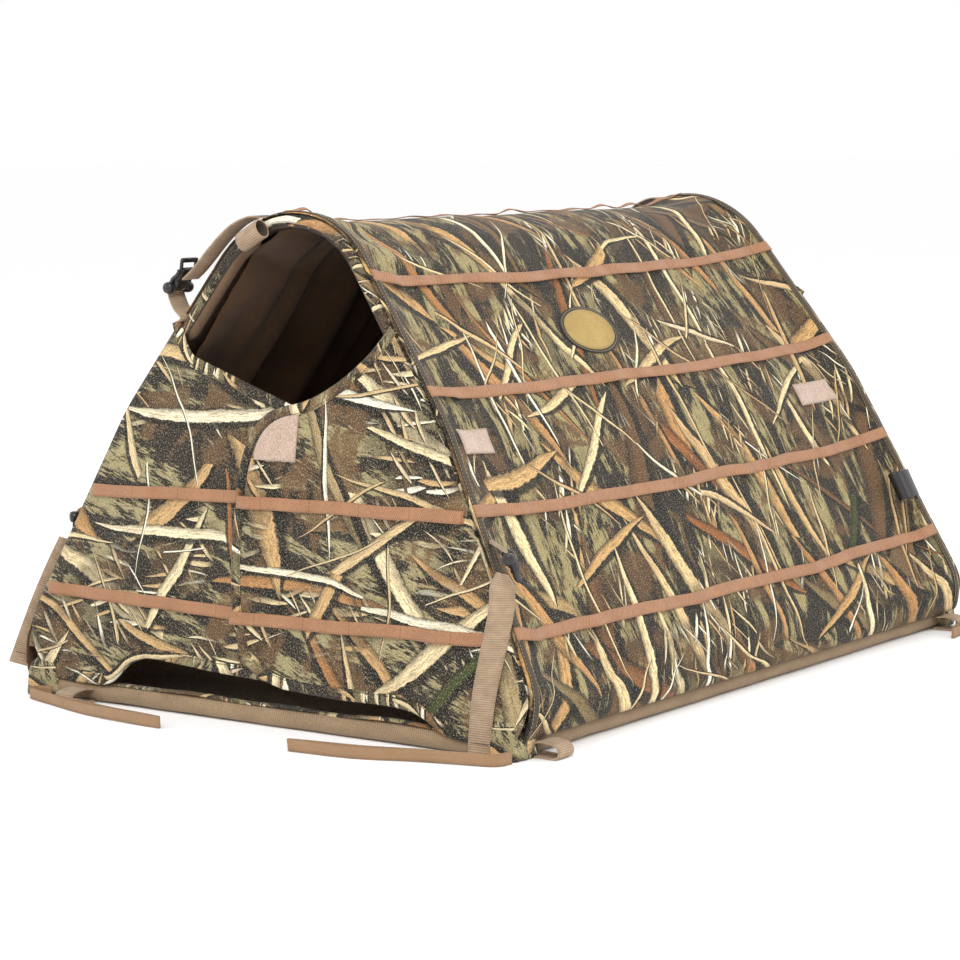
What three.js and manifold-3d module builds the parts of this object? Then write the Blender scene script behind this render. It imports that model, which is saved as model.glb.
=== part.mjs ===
// A folding dog blind for field hunting, as a three.js model: millimetres, +Z up, +Y towards the rear.
// The origin is on the ground at the middle of the base. The door end faces -Y, and both ends are
// built alike.
// Two tube hoops are hinged to a base frame of four tubes, and a cloth shell joins the hoops.
import * as THREE from "three";
import { mergeVertices } from "three/addons/utils/BufferGeometryUtils.js";
import Module from "manifold-3d";

const wasm = await Module();
wasm.setup();

// ---- Driving dimensions ----
const LENGTH = 910; // between the two end planes at the ground
const WIDTH = 660; // across the shell where it is widest
const HEIGHT = 514; // ground to the top of the crown
const END_LEAN = 0.141; // each end plane leans inward by this run for its rise, 8 degrees
const CROWN_RADIUS = 115;
const SHOULDER = [207, 308]; // half width and height of the bend between wall and roof
const HIP = [WIDTH / 2 + 10, 50]; // corner of the outline's bottom bend, before rounding
const FOOT = [WIDTH / 2 - 14, 0];
const HIP_RADIUS = 70;
const SHOULDER_RADIUS = 250;
const GAP = 0.3; // between pieces that touch

const BASE_TUBE_RADIUS = 8;
const BASE_TUBE_BORE = 6.4;
const SLEEVE_RADIUS = 10.5; // cloth sleeve round the base tube
const SLEEVE_BORE = 8.4;
const BASE_X = WIDTH / 2 - 20.5; // centre line of the side tubes
const BASE_Y = LENGTH / 2 - 11; // centre line of the end tubes
const FLOOR = { thickness: 2, clear: 0.5 };
const BLOCK = { side: 21, height: 20.5 }; // the corner bracket's foot
const BRACKET_SPIGOT = { radius: 6, length: 19, sunk: 0.5 }; // enters the base tube
const EAR = { offset: 8.7, thickness: 3, halfWidth: 6, below: 12 };

const HINGE_Z = 30;
const PIN = { radius: 2.5, head: 4.2, shank: 10.6, end: 12.2 }; // half lengths
const PIN_HOLE = 2.7;
const DRILL = 40; // length of the tool that cuts the pin's hole
const EYE_RADIUS = 7.5;
const HOOP_RADIUS = 6.5;
const HOOP_BORE = 5.3;
const HOOP_INSET = 10; // the hoop's centre line inside the shell's outline
const HOOP_DEPTH = 8; // and behind the end plane
const HOOP_HIP = { z: 79, out: 16, radius: 90 }; // the leg's bend above the hinge
const HOOP_BEND_TOP = 150;
const HOOP_STEPS = 26;
const HOOP_JOINT_GAP = 1.2; // between the halves at the crown
const SPIGOT = { radius: 4.1, bore: 3, collar: 5.8, from: -9, collarEnd: -1, to: 22 };

const SHELL_THICKNESS = 2;
const SHELL_BOTTOM = 24;
const SHELL_END_INSET = 4.5;
const ROOF_BOTTOM = 392;
const STRAP_HEIGHTS = [117.4, 229.5, 341.9, 452];
const STRAP_WIDTH = 13;
const STRAP_THICKNESS = 1.2;
const STRAP_LIFT = 0.5;
const STRAP_END_INSET = 18;
const RIDGE_STRAP_GIRTH = 12; // the ridge strap lies this far to the left of the crest

const DOOR_BOTTOM = 45;
const PORT_BOTTOM = 320; // lowest point of the head port
const PORT_CURVE = 0.0042; // the port's lower edge rises by this times its half width squared
const SEAM_BOTTOM_X = 240; // the door's hinge seam at its bottom
const SEAM_TOP = [130, 391];
const SEAM_GAP = 0.6;
const SEAM_STRIP = { bottom: 27, top: 380, footX: 297, footTop: 42 };
const OUTER_DOOR = { free: -38, top: 18, corner: 30 }; // free edge, start of the port's edge, rounding
const INNER_DOOR = { free: -24, top: -20, corner: 3 };
const DOOR_THICKNESS = 1.6;
const OUTER_DOOR_INSET = 0.4; // the right door laps over the left one
const INNER_DOOR_INSET = 2.6;

const WEBBING_WIDTH = 25;
const WEBBING_THICKNESS = 1.6;
const RIBBON = { height: 12, thickness: 1.6, lift: 0.3, steps: 22 };
const LOOP = { reach: 32, height: 11, centerZ: 5.8, out: 7 }; // the stake loop
const LOOP_FROM_CORNER = { left: 60, right: 16 };
const CORNER_BUCKLE = { z: 168, standOff: 15, inset: 21, across: [0.59, 0.81] };
const SHOULDER_BUCKLE = { center: [-139, 446], along: [-0.66, -0.75] };
const SHOULDER_LINE = [[-48, 509.5], [-70, 502.5], [-92, 486], [-113, 466]];
const SHOULDER_INSET = 6;
const BUCKLE = {
  width: 32,
  length: 40,
  thickness: 3.6,
  windowWidth: 26,
  windows: [{ low: -13, height: 6.5 }, { low: 1, height: 9 }],
  barRadius: 4,
  leverWidth: 24,
};

// ---- Materials ----
const material = (color, roughness, metalness = 0) =>
  new THREE.MeshStandardMaterial({ color, roughness, metalness });
const camo = material(0x6f6245, 0.9);
const tanCloth = material(0x9a7c62, 0.9);
const stubbleCloth = material(0xb07a5c, 0.85);
const webbing = material(0x8c7563, 0.85);
const blackPlastic = material(0x141312, 0.35);
const paintedTube = material(0x2a2420, 0.5, 0.6);
const pinSteel = material(0x8d8f92, 0.35, 1);

// ---- Outline of the shell, seen from the end ----
// Its points are [half width, height], from the foot to the crown.
function arc(center, radius, from, to, steps) {
  return Array.from({ length: steps + 1 }, (_, i) => {
    const a = from + ((to - from) * i) / steps;
    return [center[0] + radius * Math.cos(a), center[1] + radius * Math.sin(a)];
  });
}

// The arc that rounds the corner of an outline that turns to the left as it climbs.
function rounded(before, corner, after, radius, steps) {
  const a1 = Math.atan2(corner[1] - before[1], corner[0] - before[0]);
  const a2 = Math.atan2(after[1] - corner[1], after[0] - corner[0]);
  const back = radius * Math.tan((a2 - a1) / 2);
  const start = [corner[0] - back * Math.cos(a1), corner[1] - back * Math.sin(a1)];
  const center = [start[0] - radius * Math.sin(a1), start[1] + radius * Math.cos(a1)];
  return arc(center, radius, a1 - Math.PI / 2, a2 - Math.PI / 2, steps);
}

const crownCenter = [0, HEIGHT - CROWN_RADIUS];
const toShoulder = [SHOULDER[0], SHOULDER[1] - crownCenter[1]];
const crownStart =
  Math.atan2(toShoulder[1], toShoulder[0]) + Math.acos(CROWN_RADIUS / Math.hypot(...toShoulder));
const crownArc = arc(crownCenter, CROWN_RADIUS, crownStart, Math.PI / 2, 7);
const outline = [
  FOOT,
  ...rounded(FOOT, HIP, SHOULDER, HIP_RADIUS, 6),
  ...rounded(HIP, SHOULDER, crownArc[0], SHOULDER_RADIUS, 3),
  ...crownArc,
];

function tangent(points, i) {
  const a = points[Math.max(i - 1, 0)];
  const b = points[Math.min(i + 1, points.length - 1)];
  const length = Math.hypot(b[0] - a[0], b[1] - a[1]);
  return [(b[0] - a[0]) / length, (b[1] - a[1]) / length];
}

const inward = (points, distance) =>
  points.map(([x, z], i) => {
    const [tx, tz] = i === points.length - 1 ? [-1, 0] : tangent(points, i);
    return [x - tz * distance, z + tx * distance];
  });

function halfWidth(points, z) {
  const i = Math.max(1, points.findIndex((p) => p[1] >= z));
  const [[x0, z0], [x1, z1]] = [points[i - 1], points[i]];
  return x0 + ((x1 - x0) * (z - z0)) / (z1 - z0);
}

// The stretch of an outline between two heights.
const stretch = (points, low, high) => [
  [halfWidth(points, low), low],
  ...points.filter((p) => p[1] > low + 0.5 && p[1] < high - 0.5),
  ...(high < points.at(-1)[1] ? [[halfWidth(points, high), high]] : [points.at(-1)]),
];

const mirrored = (points) => points.map(([x, z]) => [-x, z]).reverse();
const endY = (end, z, inset) => end * (LENGTH / 2 - END_LEAN * z - inset);

// ---- Geometry helpers ----
function bare(geometry) {
  geometry.deleteAttribute("normal");
  geometry.deleteAttribute("uv");
  return mergeVertices(geometry, 1e-4);
}

// Moves every vertex, and turns the faces round if that left them facing in.
function mapped(geometry, place) {
  const g = bare(geometry);
  const p = g.attributes.position;
  for (let i = 0; i < p.count; i++) p.setXYZ(i, ...place(p.getX(i), p.getY(i), p.getZ(i)));
  const index = g.index.array;
  const [a, b, c] = [new THREE.Vector3(), new THREE.Vector3(), new THREE.Vector3()];
  let volume = 0;
  for (let i = 0; i < index.length; i += 3) {
    a.fromBufferAttribute(p, index[i]);
    b.fromBufferAttribute(p, index[i + 1]);
    c.fromBufferAttribute(p, index[i + 2]);
    volume += a.dot(b.cross(c));
  }
  if (volume < 0)
    for (let i = 0; i < index.length; i += 3)
      [index[i + 1], index[i + 2]] = [index[i + 2], index[i + 1]];
  return g;
}

function toSolid(geometry) {
  const g = bare(geometry.index ? geometry.toNonIndexed() : geometry.clone());
  return new wasm.Manifold(
    new wasm.Mesh({
      numProp: 3,
      vertProperties: new Float32Array(g.attributes.position.array),
      triVerts: new Uint32Array(g.index.array),
    }),
  );
}

function fromSolid(solid) {
  const m = solid.getMesh();
  return new THREE.BufferGeometry()
    .setAttribute("position", new THREE.BufferAttribute(new Float32Array(m.vertProperties), 3))
    .setIndex(new THREE.BufferAttribute(new Uint32Array(m.triVerts), 1));
}

const joined = (...geometries) =>
  fromSolid(geometries.map(toSolid).reduce((whole, part) => whole.add(part)));
const cut = (geometry, ...tools) =>
  fromSolid(tools.map(toSolid).reduce((whole, tool) => whole.subtract(tool), toSolid(geometry)));

const shapeOf = (points) => new THREE.Shape(points.map(([x, y]) => new THREE.Vector2(x, y)));
const extruded = (shape, depth, curveSegments = 8) =>
  new THREE.ExtrudeGeometry(shape, { depth, bevelEnabled: false, curveSegments });

function circle(radius, bore = 0) {
  const shape = new THREE.Shape().absarc(0, 0, radius, 0, 2 * Math.PI);
  if (bore) shape.holes.push(new THREE.Path().absarc(0, 0, bore, 0, 2 * Math.PI));
  return shape;
}

// A tube along a line of points. A circle gets two sides for each of its curve segments.
function tube(points, radius, bore, steps, curveSegments = 5) {
  const path = new THREE.CurvePath();
  points.slice(1).forEach((p, i) => path.add(new THREE.LineCurve3(points[i], p)));
  return new THREE.ExtrudeGeometry(circle(radius, bore), {
    steps,
    curveSegments,
    bevelEnabled: false,
    extrudePath: path,
  });
}

// A rod along X, Y or Z through a point.
function rod(axis, center, radius, length, sides = 20) {
  const g = new THREE.CylinderGeometry(radius, radius, length, sides);
  if (axis === "x") g.rotateZ(Math.PI / 2);
  if (axis === "z") g.rotateX(Math.PI / 2);
  return g.translate(...center);
}

// A closed strap with a flat section, through stations of {at, across, out, width, thickness}.
function strap(stations) {
  const corners = stations.flatMap(({ at, across, out, width, thickness }) =>
    [[-1, -1], [1, -1], [1, 1], [-1, 1]].map(([u, v]) =>
      at.clone().addScaledVector(across, (u * width) / 2).addScaledVector(out, (v * thickness) / 2),
    ),
  );
  const last = 4 * (stations.length - 1);
  const index = [0, 1, 2, 0, 2, 3, last, last + 2, last + 1, last, last + 3, last + 2];
  for (let s = 0; s < last; s += 4)
    for (let k = 0; k < 4; k++) {
      const n = (k + 1) % 4;
      // Opposite faces take the same diagonal, so that a twisted strap keeps its thickness.
      if (k < 2) index.push(s + k, s + 4 + k, s + 4 + n, s + k, s + 4 + n, s + n);
      else index.push(s + k, s + 4 + k, s + n, s + n, s + 4 + k, s + 4 + n);
    }
  const g = new THREE.BufferGeometry().setFromPoints(corners).setIndex(index);
  g.setAttribute("uv", new THREE.Float32BufferAttribute(new Array(2 * corners.length).fill(0), 2));
  return mapped(g, (x, y, z) => [x, y, z]);
}

// ---- The blind ----
const blind = new THREE.Group();
function add(name, geometry, look) {
  const mesh = new THREE.Mesh(geometry, look);
  mesh.name = name;
  blind.add(mesh);
  return mesh;
}

const ENDS = [["front", -1], ["rear", 1]];
const SIDES = [["left", -1], ["right", 1]];

// Base frame: a tube and its cloth sleeve along each edge, between the corner brackets.
function baseEdge(name, along, center, length) {
  const span = length - BLOCK.side - 2 * GAP;
  const direction = along === "x" ? new THREE.Vector3(1, 0, 0) : new THREE.Vector3(0, 1, 0);
  const ends = [-0.5, 0.5].map((t) => center.clone().addScaledVector(direction, t * span));
  add("base_tube_" + name, tube(ends, BASE_TUBE_RADIUS, BASE_TUBE_BORE, 1, 6), paintedTube);
  add("base_sleeve_" + name, tube(ends, SLEEVE_RADIUS, SLEEVE_BORE, 1, 6), tanCloth);
}
for (const [name, end] of ENDS)
  baseEdge(name, "x", new THREE.Vector3(0, end * BASE_Y, SLEEVE_RADIUS), 2 * BASE_X);
for (const [name, side] of SIDES)
  baseEdge(name, "y", new THREE.Vector3(side * BASE_X, 0, SLEEVE_RADIUS), 2 * BASE_Y);

const floorX = 2 * (BASE_X - SLEEVE_RADIUS - FLOOR.clear);
const floorY = 2 * (BASE_Y - SLEEVE_RADIUS - FLOOR.clear);
const floor = new THREE.BoxGeometry(floorX, floorY, FLOOR.thickness);
add("floor_panel", floor.translate(0, 0, FLOOR.thickness / 2), tanCloth);

// Corner bracket: a foot with two spigots that enter the base tubes, and two ears for the hinge pin.
function ear(center) {
  const shape = new THREE.Shape()
    .moveTo(-EAR.halfWidth, -EAR.below)
    .lineTo(EAR.halfWidth, -EAR.below)
    .lineTo(EAR.halfWidth, 0)
    .absarc(0, 0, EAR.halfWidth, 0, Math.PI);
  return mapped(extruded(shape, EAR.thickness, 8), (u, v, d) => [
    center[0] + d - EAR.thickness / 2,
    center[1] + u,
    center[2] + v,
  ]);
}
function bracket(side, end) {
  const [x, y] = [side * BASE_X, end * BASE_Y];
  const foot = new THREE.BoxGeometry(BLOCK.side, BLOCK.side, BLOCK.height);
  foot.translate(x, y, BLOCK.height / 2);
  const { radius, length, sunk } = BRACKET_SPIGOT;
  const reach = (BLOCK.side + length) / 2 - sunk;
  const spigotX = rod("x", [x - side * reach, y, SLEEVE_RADIUS], radius, length, 12);
  const spigotY = rod("y", [x, y - end * reach, SLEEVE_RADIUS], radius, length, 12);
  const ears = [-1, 1].map((s) => ear([x + s * EAR.offset, y, HINGE_Z]));
  return cut(joined(foot, spigotX, spigotY, ...ears), rod("x", [x, y, HINGE_Z], PIN_HOLE, DRILL));
}
function pin(side, end) {
  const { radius, head, shank, end: tip } = PIN;
  const profile = [[0, -tip], [head, -tip], [head, -shank], [radius, -shank]];
  const points = [...profile, ...profile.map(([r, h]) => [r, -h]).reverse()];
  const g = new THREE.LatheGeometry(points.map(([r, h]) => new THREE.Vector2(r, h)), 16);
  return mapped(g, (x, y, z) => [side * BASE_X + y, end * BASE_Y + x, HINGE_Z + z]);
}

// Hoop: the right half runs from its eye on the hinge pin up to the crown. The left half has the
// swaged end that the right one slides over.
const hoopOutline = inward(outline, HOOP_INSET);
const hoopHip = [halfWidth(hoopOutline, 110) + HOOP_HIP.out, HOOP_HIP.z];
const hoopFoot = [BASE_X, HINGE_Z + 3];
const hoopBendTop = [halfWidth(hoopOutline, HOOP_BEND_TOP), HOOP_BEND_TOP];
const hoopPath = [
  hoopFoot,
  ...rounded(hoopFoot, hoopHip, hoopBendTop, HOOP_HIP.radius, 4),
  ...hoopOutline.filter((p) => p[1] > HOOP_BEND_TOP),
];
const hoopX = (z) => halfWidth(hoopPath, z);
const onHoop = (side, end) => ([x, z]) => new THREE.Vector3(side * x, endY(end, z, HOOP_DEPTH), z);
function crownStretch(end, from, to) {
  const radius = CROWN_RADIUS - HOOP_INSET;
  return [0, 0.5, 1].map((t) => {
    const a = (from + (to - from) * t) / radius;
    const point = [radius * Math.sin(a), crownCenter[1] + radius * Math.cos(a)];
    return onHoop(1, end)(point);
  });
}
function hoopHalf(side, end) {
  const path = [...hoopPath.slice(0, -1), [HOOP_JOINT_GAP / 2, hoopPath.at(-1)[1]]];
  const leg = tube(path.map(onHoop(side, end)), HOOP_RADIUS, HOOP_BORE, HOOP_STEPS);
  const hinge = [side * BASE_X, end * BASE_Y, HINGE_Z];
  const pieces = [leg, rod("x", hinge, EYE_RADIUS, 2 * HOOP_RADIUS)];
  if (side < 0) {
    const { radius, bore, collar, from, collarEnd, to } = SPIGOT;
    pieces.push(tube(crownStretch(end, from, collarEnd), collar, bore, 2));
    pieces.push(tube(crownStretch(end, from, to), radius, bore, 4));
  }
  return cut(joined(...pieces), rod("x", hinge, PIN_HOLE, DRILL));
}

for (const [endName, end] of ENDS)
  for (const [sideName, side] of SIDES) {
    const place = endName + "_" + sideName;
    add("corner_bracket_" + place, bracket(side, end), blackPlastic);
    add("hinge_pin_" + place, pin(side, end), pinSteel);
    add("hoop_" + place, hoopHalf(side, end), paintedTube);
  }

// Shell: a section, seen from the end, run from one leaning end plane to the other.
function alongShell(section, endInset) {
  return mapped(extruded(shapeOf(section), 1), (x, z, d) => [x, (1 - 2 * d) * endY(1, z, endInset), z]);
}
const sideWall = stretch(outline, SHELL_BOTTOM, ROOF_BOTTOM - GAP);
const lastTangent = tangent(sideWall, sideWall.length - 1);
const sideInside = sideWall.map(([x, z], i) => {
  const [tx, tz] = i === sideWall.length - 1 ? lastTangent : tangent(sideWall, i);
  return [x - tz * SHELL_THICKNESS, z + tx * SHELL_THICKNESS];
});
const sideSection = [...sideWall, ...sideInside.reverse()];
add("side_panel_right", alongShell(sideSection, SHELL_END_INSET), camo);
add("side_panel_left", alongShell(mirrored(sideSection), SHELL_END_INSET), camo);
const roofHalf = stretch(outline, ROOF_BOTTOM, HEIGHT);
const roofInside = inward(roofHalf, SHELL_THICKNESS);
const roofSection = [
  ...roofHalf.slice(0, -1),
  ...mirrored(roofHalf),
  ...mirrored(roofInside).reverse().slice(0, -1),
  ...roofInside.reverse(),
];
add("roof_panel", alongShell(roofSection, SHELL_END_INSET), camo);

// Stubble straps: four rows along each side, flat on the shell.
function strapSection(z) {
  const x = halfWidth(outline, z);
  const rise = [halfWidth(outline, z + 1) - x, 1];
  const length = Math.hypot(...rise);
  const [tx, tz] = [rise[0] / length, rise[1] / length];
  const corner = (out, up) => [x + tz * out + tx * up, z - tx * out + tz * up];
  const [low, high] = [STRAP_LIFT, STRAP_LIFT + STRAP_THICKNESS];
  const half = STRAP_WIDTH / 2;
  return [corner(low, -half), corner(high, -half), corner(high, half), corner(low, half)];
}
STRAP_HEIGHTS.forEach((z, i) => {
  const section = strapSection(z);
  add(`stubble_strap_right_${i + 1}`, alongShell(section, STRAP_END_INSET), stubbleCloth);
  add(`stubble_strap_left_${i + 1}`, alongShell(mirrored(section), STRAP_END_INSET), stubbleCloth);
});

// One more row runs along the crest.
function ridgeSection() {
  const corner = (lift, girth) => {
    const angle = -girth / CROWN_RADIUS;
    const radius = CROWN_RADIUS + lift;
    return [radius * Math.sin(angle), HEIGHT - CROWN_RADIUS + radius * Math.cos(angle)];
  };
  const [low, high] = [STRAP_LIFT, STRAP_LIFT + STRAP_THICKNESS];
  const near = RIDGE_STRAP_GIRTH - STRAP_WIDTH / 2;
  const far = RIDGE_STRAP_GIRTH + STRAP_WIDTH / 2;
  return [corner(low, near), corner(high, near), corner(high, far), corner(low, far)];
}
add("stubble_strap_ridge", alongShell(ridgeSection(), STRAP_END_INSET), stubbleCloth);

// End panels: a shape in [x, z] set into the leaning end plane between two depths.
function endPanel(shape, side, end, inset, thickness = DOOR_THICKNESS) {
  return mapped(extruded(shape, thickness, 6), (x, z, d) => [side * x, endY(end, z, inset + d), z]);
}
const portEdge = (x) => PORT_BOTTOM + PORT_CURVE * x * x;
const seamX = (z) =>
  SEAM_BOTTOM_X + ((SEAM_TOP[0] - SEAM_BOTTOM_X) * (z - DOOR_BOTTOM)) / (SEAM_TOP[1] - DOOR_BOTTOM);

// A door, from its seam round its free edge to the port's edge and back up to the seam.
function doorShape({ free, top, corner }) {
  const shape = new THREE.Shape()
    .moveTo(seamX(DOOR_BOTTOM) - SEAM_GAP, DOOR_BOTTOM)
    .lineTo(free + corner, DOOR_BOTTOM)
    .quadraticCurveTo(free, DOOR_BOTTOM, free, DOOR_BOTTOM + corner)
    .lineTo(free, portEdge(top) - 2 * corner)
    .quadraticCurveTo(free, portEdge(top) - 0.4 * corner, top, portEdge(top));
  const steps = 8;
  const width = SEAM_TOP[0] - SEAM_GAP - top;
  for (let i = 1; i <= steps; i++) {
    const x = top + (width * i) / steps;
    shape.lineTo(x, portEdge(x) - SEAM_GAP);
  }
  return shape;
}
const outerDoor = doorShape(OUTER_DOOR);
const innerDoor = doorShape(INNER_DOOR);

// The seam strip joins a door's hinge seam to the hoop leg.
function seamStripShape() {
  const { bottom, top, footX, footTop } = SEAM_STRIP;
  const clear = HOOP_RADIUS + SEAM_GAP;
  const shape = new THREE.Shape()
    .moveTo(seamX(top) + SEAM_GAP, top)
    .lineTo(seamX(DOOR_BOTTOM) + SEAM_GAP, DOOR_BOTTOM)
    .quadraticCurveTo(SEAM_BOTTOM_X - 6, 30, SEAM_BOTTOM_X + 8, bottom)
    .lineTo(footX, bottom)
    .lineTo(footX, footTop);
  for (const z of [46, 70, 100, 140, 200, 260, 300, 330, top]) shape.lineTo(hoopX(z) - clear, z);
  return shape;
}
const seamStrip = seamStripShape();

for (const [endName, end] of ENDS)
  for (const [sideName, side] of SIDES) {
    const outer = side > 0;
    const inset = outer ? OUTER_DOOR_INSET : INNER_DOOR_INSET;
    const place = endName + "_" + sideName;
    add("door_" + place, endPanel(outer ? outerDoor : innerDoor, side, end, inset), camo);
    add("seam_strip_" + place, endPanel(seamStrip, side, end, inset), camo);
  }

// The rear gable panel closes the rear head port, inside the hoop.
const gableHoopEdge = inward(outline, HOOP_INSET + HOOP_RADIUS + SEAM_GAP);
const gableTop = gableHoopEdge.filter((p) => p[1] > ROOF_BOTTOM);
const gableRise = gableTop.slice(0, -1);
const gableHalf = 125;
const gableBottom = Array.from({ length: 11 }, (_, i) => {
  const x = gableHalf * (i / 5 - 1);
  return [x, portEdge(x) + 2.5];
});
const gable = [...gableBottom, ...gableRise, gableTop.at(-1), ...mirrored(gableRise)];
add("rear_gable_panel", endPanel(shapeOf(gable), 1, 1, INNER_DOOR_INSET), camo);

// Ladder-lock buckle: a frame with two windows, a round bar at one end and a wedge lever at the other.
// Its length runs along Y, its width along X and its face out along Z, with the centre at the origin.
function buckle() {
  const { width, length, thickness, windowWidth, windows, barRadius, leverWidth } = BUCKLE;
  const rectangle = (wide, low, high) =>
    shapeOf([[-wide / 2, low], [wide / 2, low], [wide / 2, high], [-wide / 2, high]]);
  const tip = -length / 2;
  const frame = rectangle(width, tip, -tip);
  for (const { low, height } of windows) frame.holes.push(rectangle(windowWidth, low, low + height));
  const plate = extruded(frame, thickness).translate(0, 0, -thickness / 2);
  const bar = rod("x", [0, 1 - tip, 0], barRadius, width - barRadius, 12);
  const wedge = shapeOf([[tip + 2, 1], [tip - 5, 5.5], [tip - 4, 8], [-4.5, 5], [-4.5, 1]]);
  const lever = mapped(extruded(wedge, leverWidth), (y, z, d) => [d - leverWidth / 2, y, z]);
  return joined(plate, bar, lever);
}
const buckleGeometry = buckle();
function placed(geometry, center, across, along) {
  const x = across.clone().addScaledVector(along, -across.dot(along)).normalize();
  const out = new THREE.Vector3().crossVectors(x, along);
  const turn = new THREE.Matrix4().makeBasis(x, along, out).setPosition(center);
  return mapped(geometry.clone(), (a, b, c) => new THREE.Vector3(a, b, c).applyMatrix4(turn).toArray());
}

// Corner straps: the buckle stands off the corner, with its face turned half way between side and end.
const wallSlope = (HIP[0] - SHOULDER[0]) / (SHOULDER[1] - HIP[1]);
const wallOut = new THREE.Vector2(1, wallSlope).normalize();
for (const [endName, end] of ENDS)
  for (const [sideName, side] of SIDES) {
    const z = CORNER_BUCKLE.z + wallOut.y * CORNER_BUCKLE.standOff;
    const x = halfWidth(outline, CORNER_BUCKLE.z) + wallOut.x * CORNER_BUCKLE.standOff;
    const center = new THREE.Vector3(side * x, endY(end, z, CORNER_BUCKLE.inset), z);
    const up = new THREE.Vector3(-side * wallSlope, -end * END_LEAN, 1).normalize();
    const [acrossX, acrossY] = CORNER_BUCKLE.across;
    const across = new THREE.Vector3(-end * acrossX, -side * acrossY, 0);
    const g = placed(buckleGeometry, center, across, up);
    add(`corner_buckle_${endName}_${sideName}`, g, blackPlastic);
  }

// The front corner tails hang from their buckles: the right one in front of its hoop leg, turning to
// face forward, and the left one outside its leg. Each row is turn, x, z and inset.
const TAIL_ROWS = {
  right: [[0, 290, 148, -8], [0.3, 289, 118, -7.5], [0.7, 285, 70, -6], [1, 281, 3, -4.5]],
  left: [[0, -317, 155, 20], [0, -330, 131, 20], [0, -344, 95, 19], [0, -350, 28, 12]],
};
function tail(name, side) {
  return strap(
    TAIL_ROWS[name].map(([turn, x, z, inset]) => {
      const facing = side > 0 ? -0.5 * (1 - turn) : 0.55;
      const across = new THREE.Vector3(0.75 + 0.25 * turn, facing, 0).normalize();
      return {
        at: new THREE.Vector3(x, endY(-1, z, inset), z),
        across,
        out: new THREE.Vector3(-across.y, across.x, 0),
        width: WEBBING_WIDTH,
        thickness: WEBBING_THICKNESS,
      };
    }),
  );
}
for (const [name, side] of SIDES) add("corner_tail_front_" + name, tail(name, side), webbing);

// Shoulder strap: from the crown of each hoop down the outside of its left leg to a buckle.
for (const [endName, end] of ENDS) {
  const rows = SHOULDER_LINE.map(([x, z], i) => {
    const [tx, tz] = tangent(SHOULDER_LINE, i);
    return {
      at: new THREE.Vector3(x, endY(end, z, SHOULDER_INSET), z),
      across: new THREE.Vector3(0, 1, 0),
      out: new THREE.Vector3(tz, 0, -tx),
      width: WEBBING_WIDTH,
      thickness: WEBBING_THICKNESS,
    };
  });
  add("shoulder_strap_" + endName, strap(rows), webbing);
  const [x, z] = SHOULDER_BUCKLE.center;
  const center = new THREE.Vector3(x, endY(end, z, SHOULDER_INSET), z);
  const [alongX, alongZ] = SHOULDER_BUCKLE.along;
  const along = new THREE.Vector3(alongX, 0, alongZ).normalize();
  const g = placed(buckleGeometry, center, new THREE.Vector3(0, 1, 0), along);
  add("shoulder_buckle_" + endName, g, blackPlastic);
}

// Stake loops: webbing folded round into a flat loop that lies beside the base at each corner.
function stakeLoop() {
  const { reach, height } = LOOP;
  const racetrack = (r, length) =>
    new THREE.Shape()
      .moveTo(0, -r)
      .lineTo(length, -r)
      .absarc(length, 0, r, -Math.PI / 2, Math.PI / 2)
      .lineTo(0, r)
      .absarc(0, 0, r, Math.PI / 2, (3 * Math.PI) / 2);
  const loop = racetrack(height / 2, reach - height);
  loop.holes.push(racetrack(height / 2 - WEBBING_THICKNESS, reach - height));
  return extruded(loop, WEBBING_WIDTH, 6);
}
for (const [endName, end] of ENDS)
  for (const [sideName, side] of SIDES) {
    const alongFront = side < 0; // the left loops lie before the end, the right ones beside the wall
    const along = (alongFront ? BASE_X : BASE_Y) - LOOP_FROM_CORNER[sideName];
    const across = (alongFront ? BASE_Y : BASE_X) + SLEEVE_RADIUS + LOOP.out;
    const g = mapped(stakeLoop(), (u, v, d) =>
      alongFront
        ? [side * (along - d), end * (across + u), LOOP.centerZ + v]
        : [side * (across + u), end * (along - d), LOOP.centerZ + v],
    );
    add(`stake_loop_${endName}_${sideName}`, g, webbing);
  }

// Tie ribbons: thin tape that stands on edge on the ground, from a corner of the base.
function ribbon(points) {
  const curve = new THREE.CatmullRomCurve3(points.map(([x, y]) => new THREE.Vector3(x, y, 0)));
  const line = curve.getSpacedPoints(RIBBON.steps).map((p) => [p.x, p.y]);
  const half = RIBBON.thickness / 2;
  const edge = (sign) =>
    line.map(([x, y], i) => {
      const [tx, ty] = tangent(line, i);
      return [x - ty * half * sign, y + tx * half * sign];
    });
  const shape = shapeOf([...edge(1), ...edge(-1).reverse()]);
  return extruded(shape, RIBBON.height).translate(0, 0, RIBBON.lift);
}
const RIBBONS = {
  front_right: [[322, -462], [318, -478], [300, -486], [240, -500], [180, -519], [107, -530]],
  front_left: [[-300, -461], [-326, -470], [-322, -482], [-250, -492], [-160, -508], [-76, -516]],
  rear_right: [[330, 441], [358, 437], [371, 412], [362, 388], [366, 362]],
};
for (const [name, points] of Object.entries(RIBBONS)) add("tie_ribbon_" + name, ribbon(points), webbing);

export default blind;
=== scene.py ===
import math

import bmesh
import bpy
import numpy as np
from mathutils import Matrix, Vector


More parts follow.
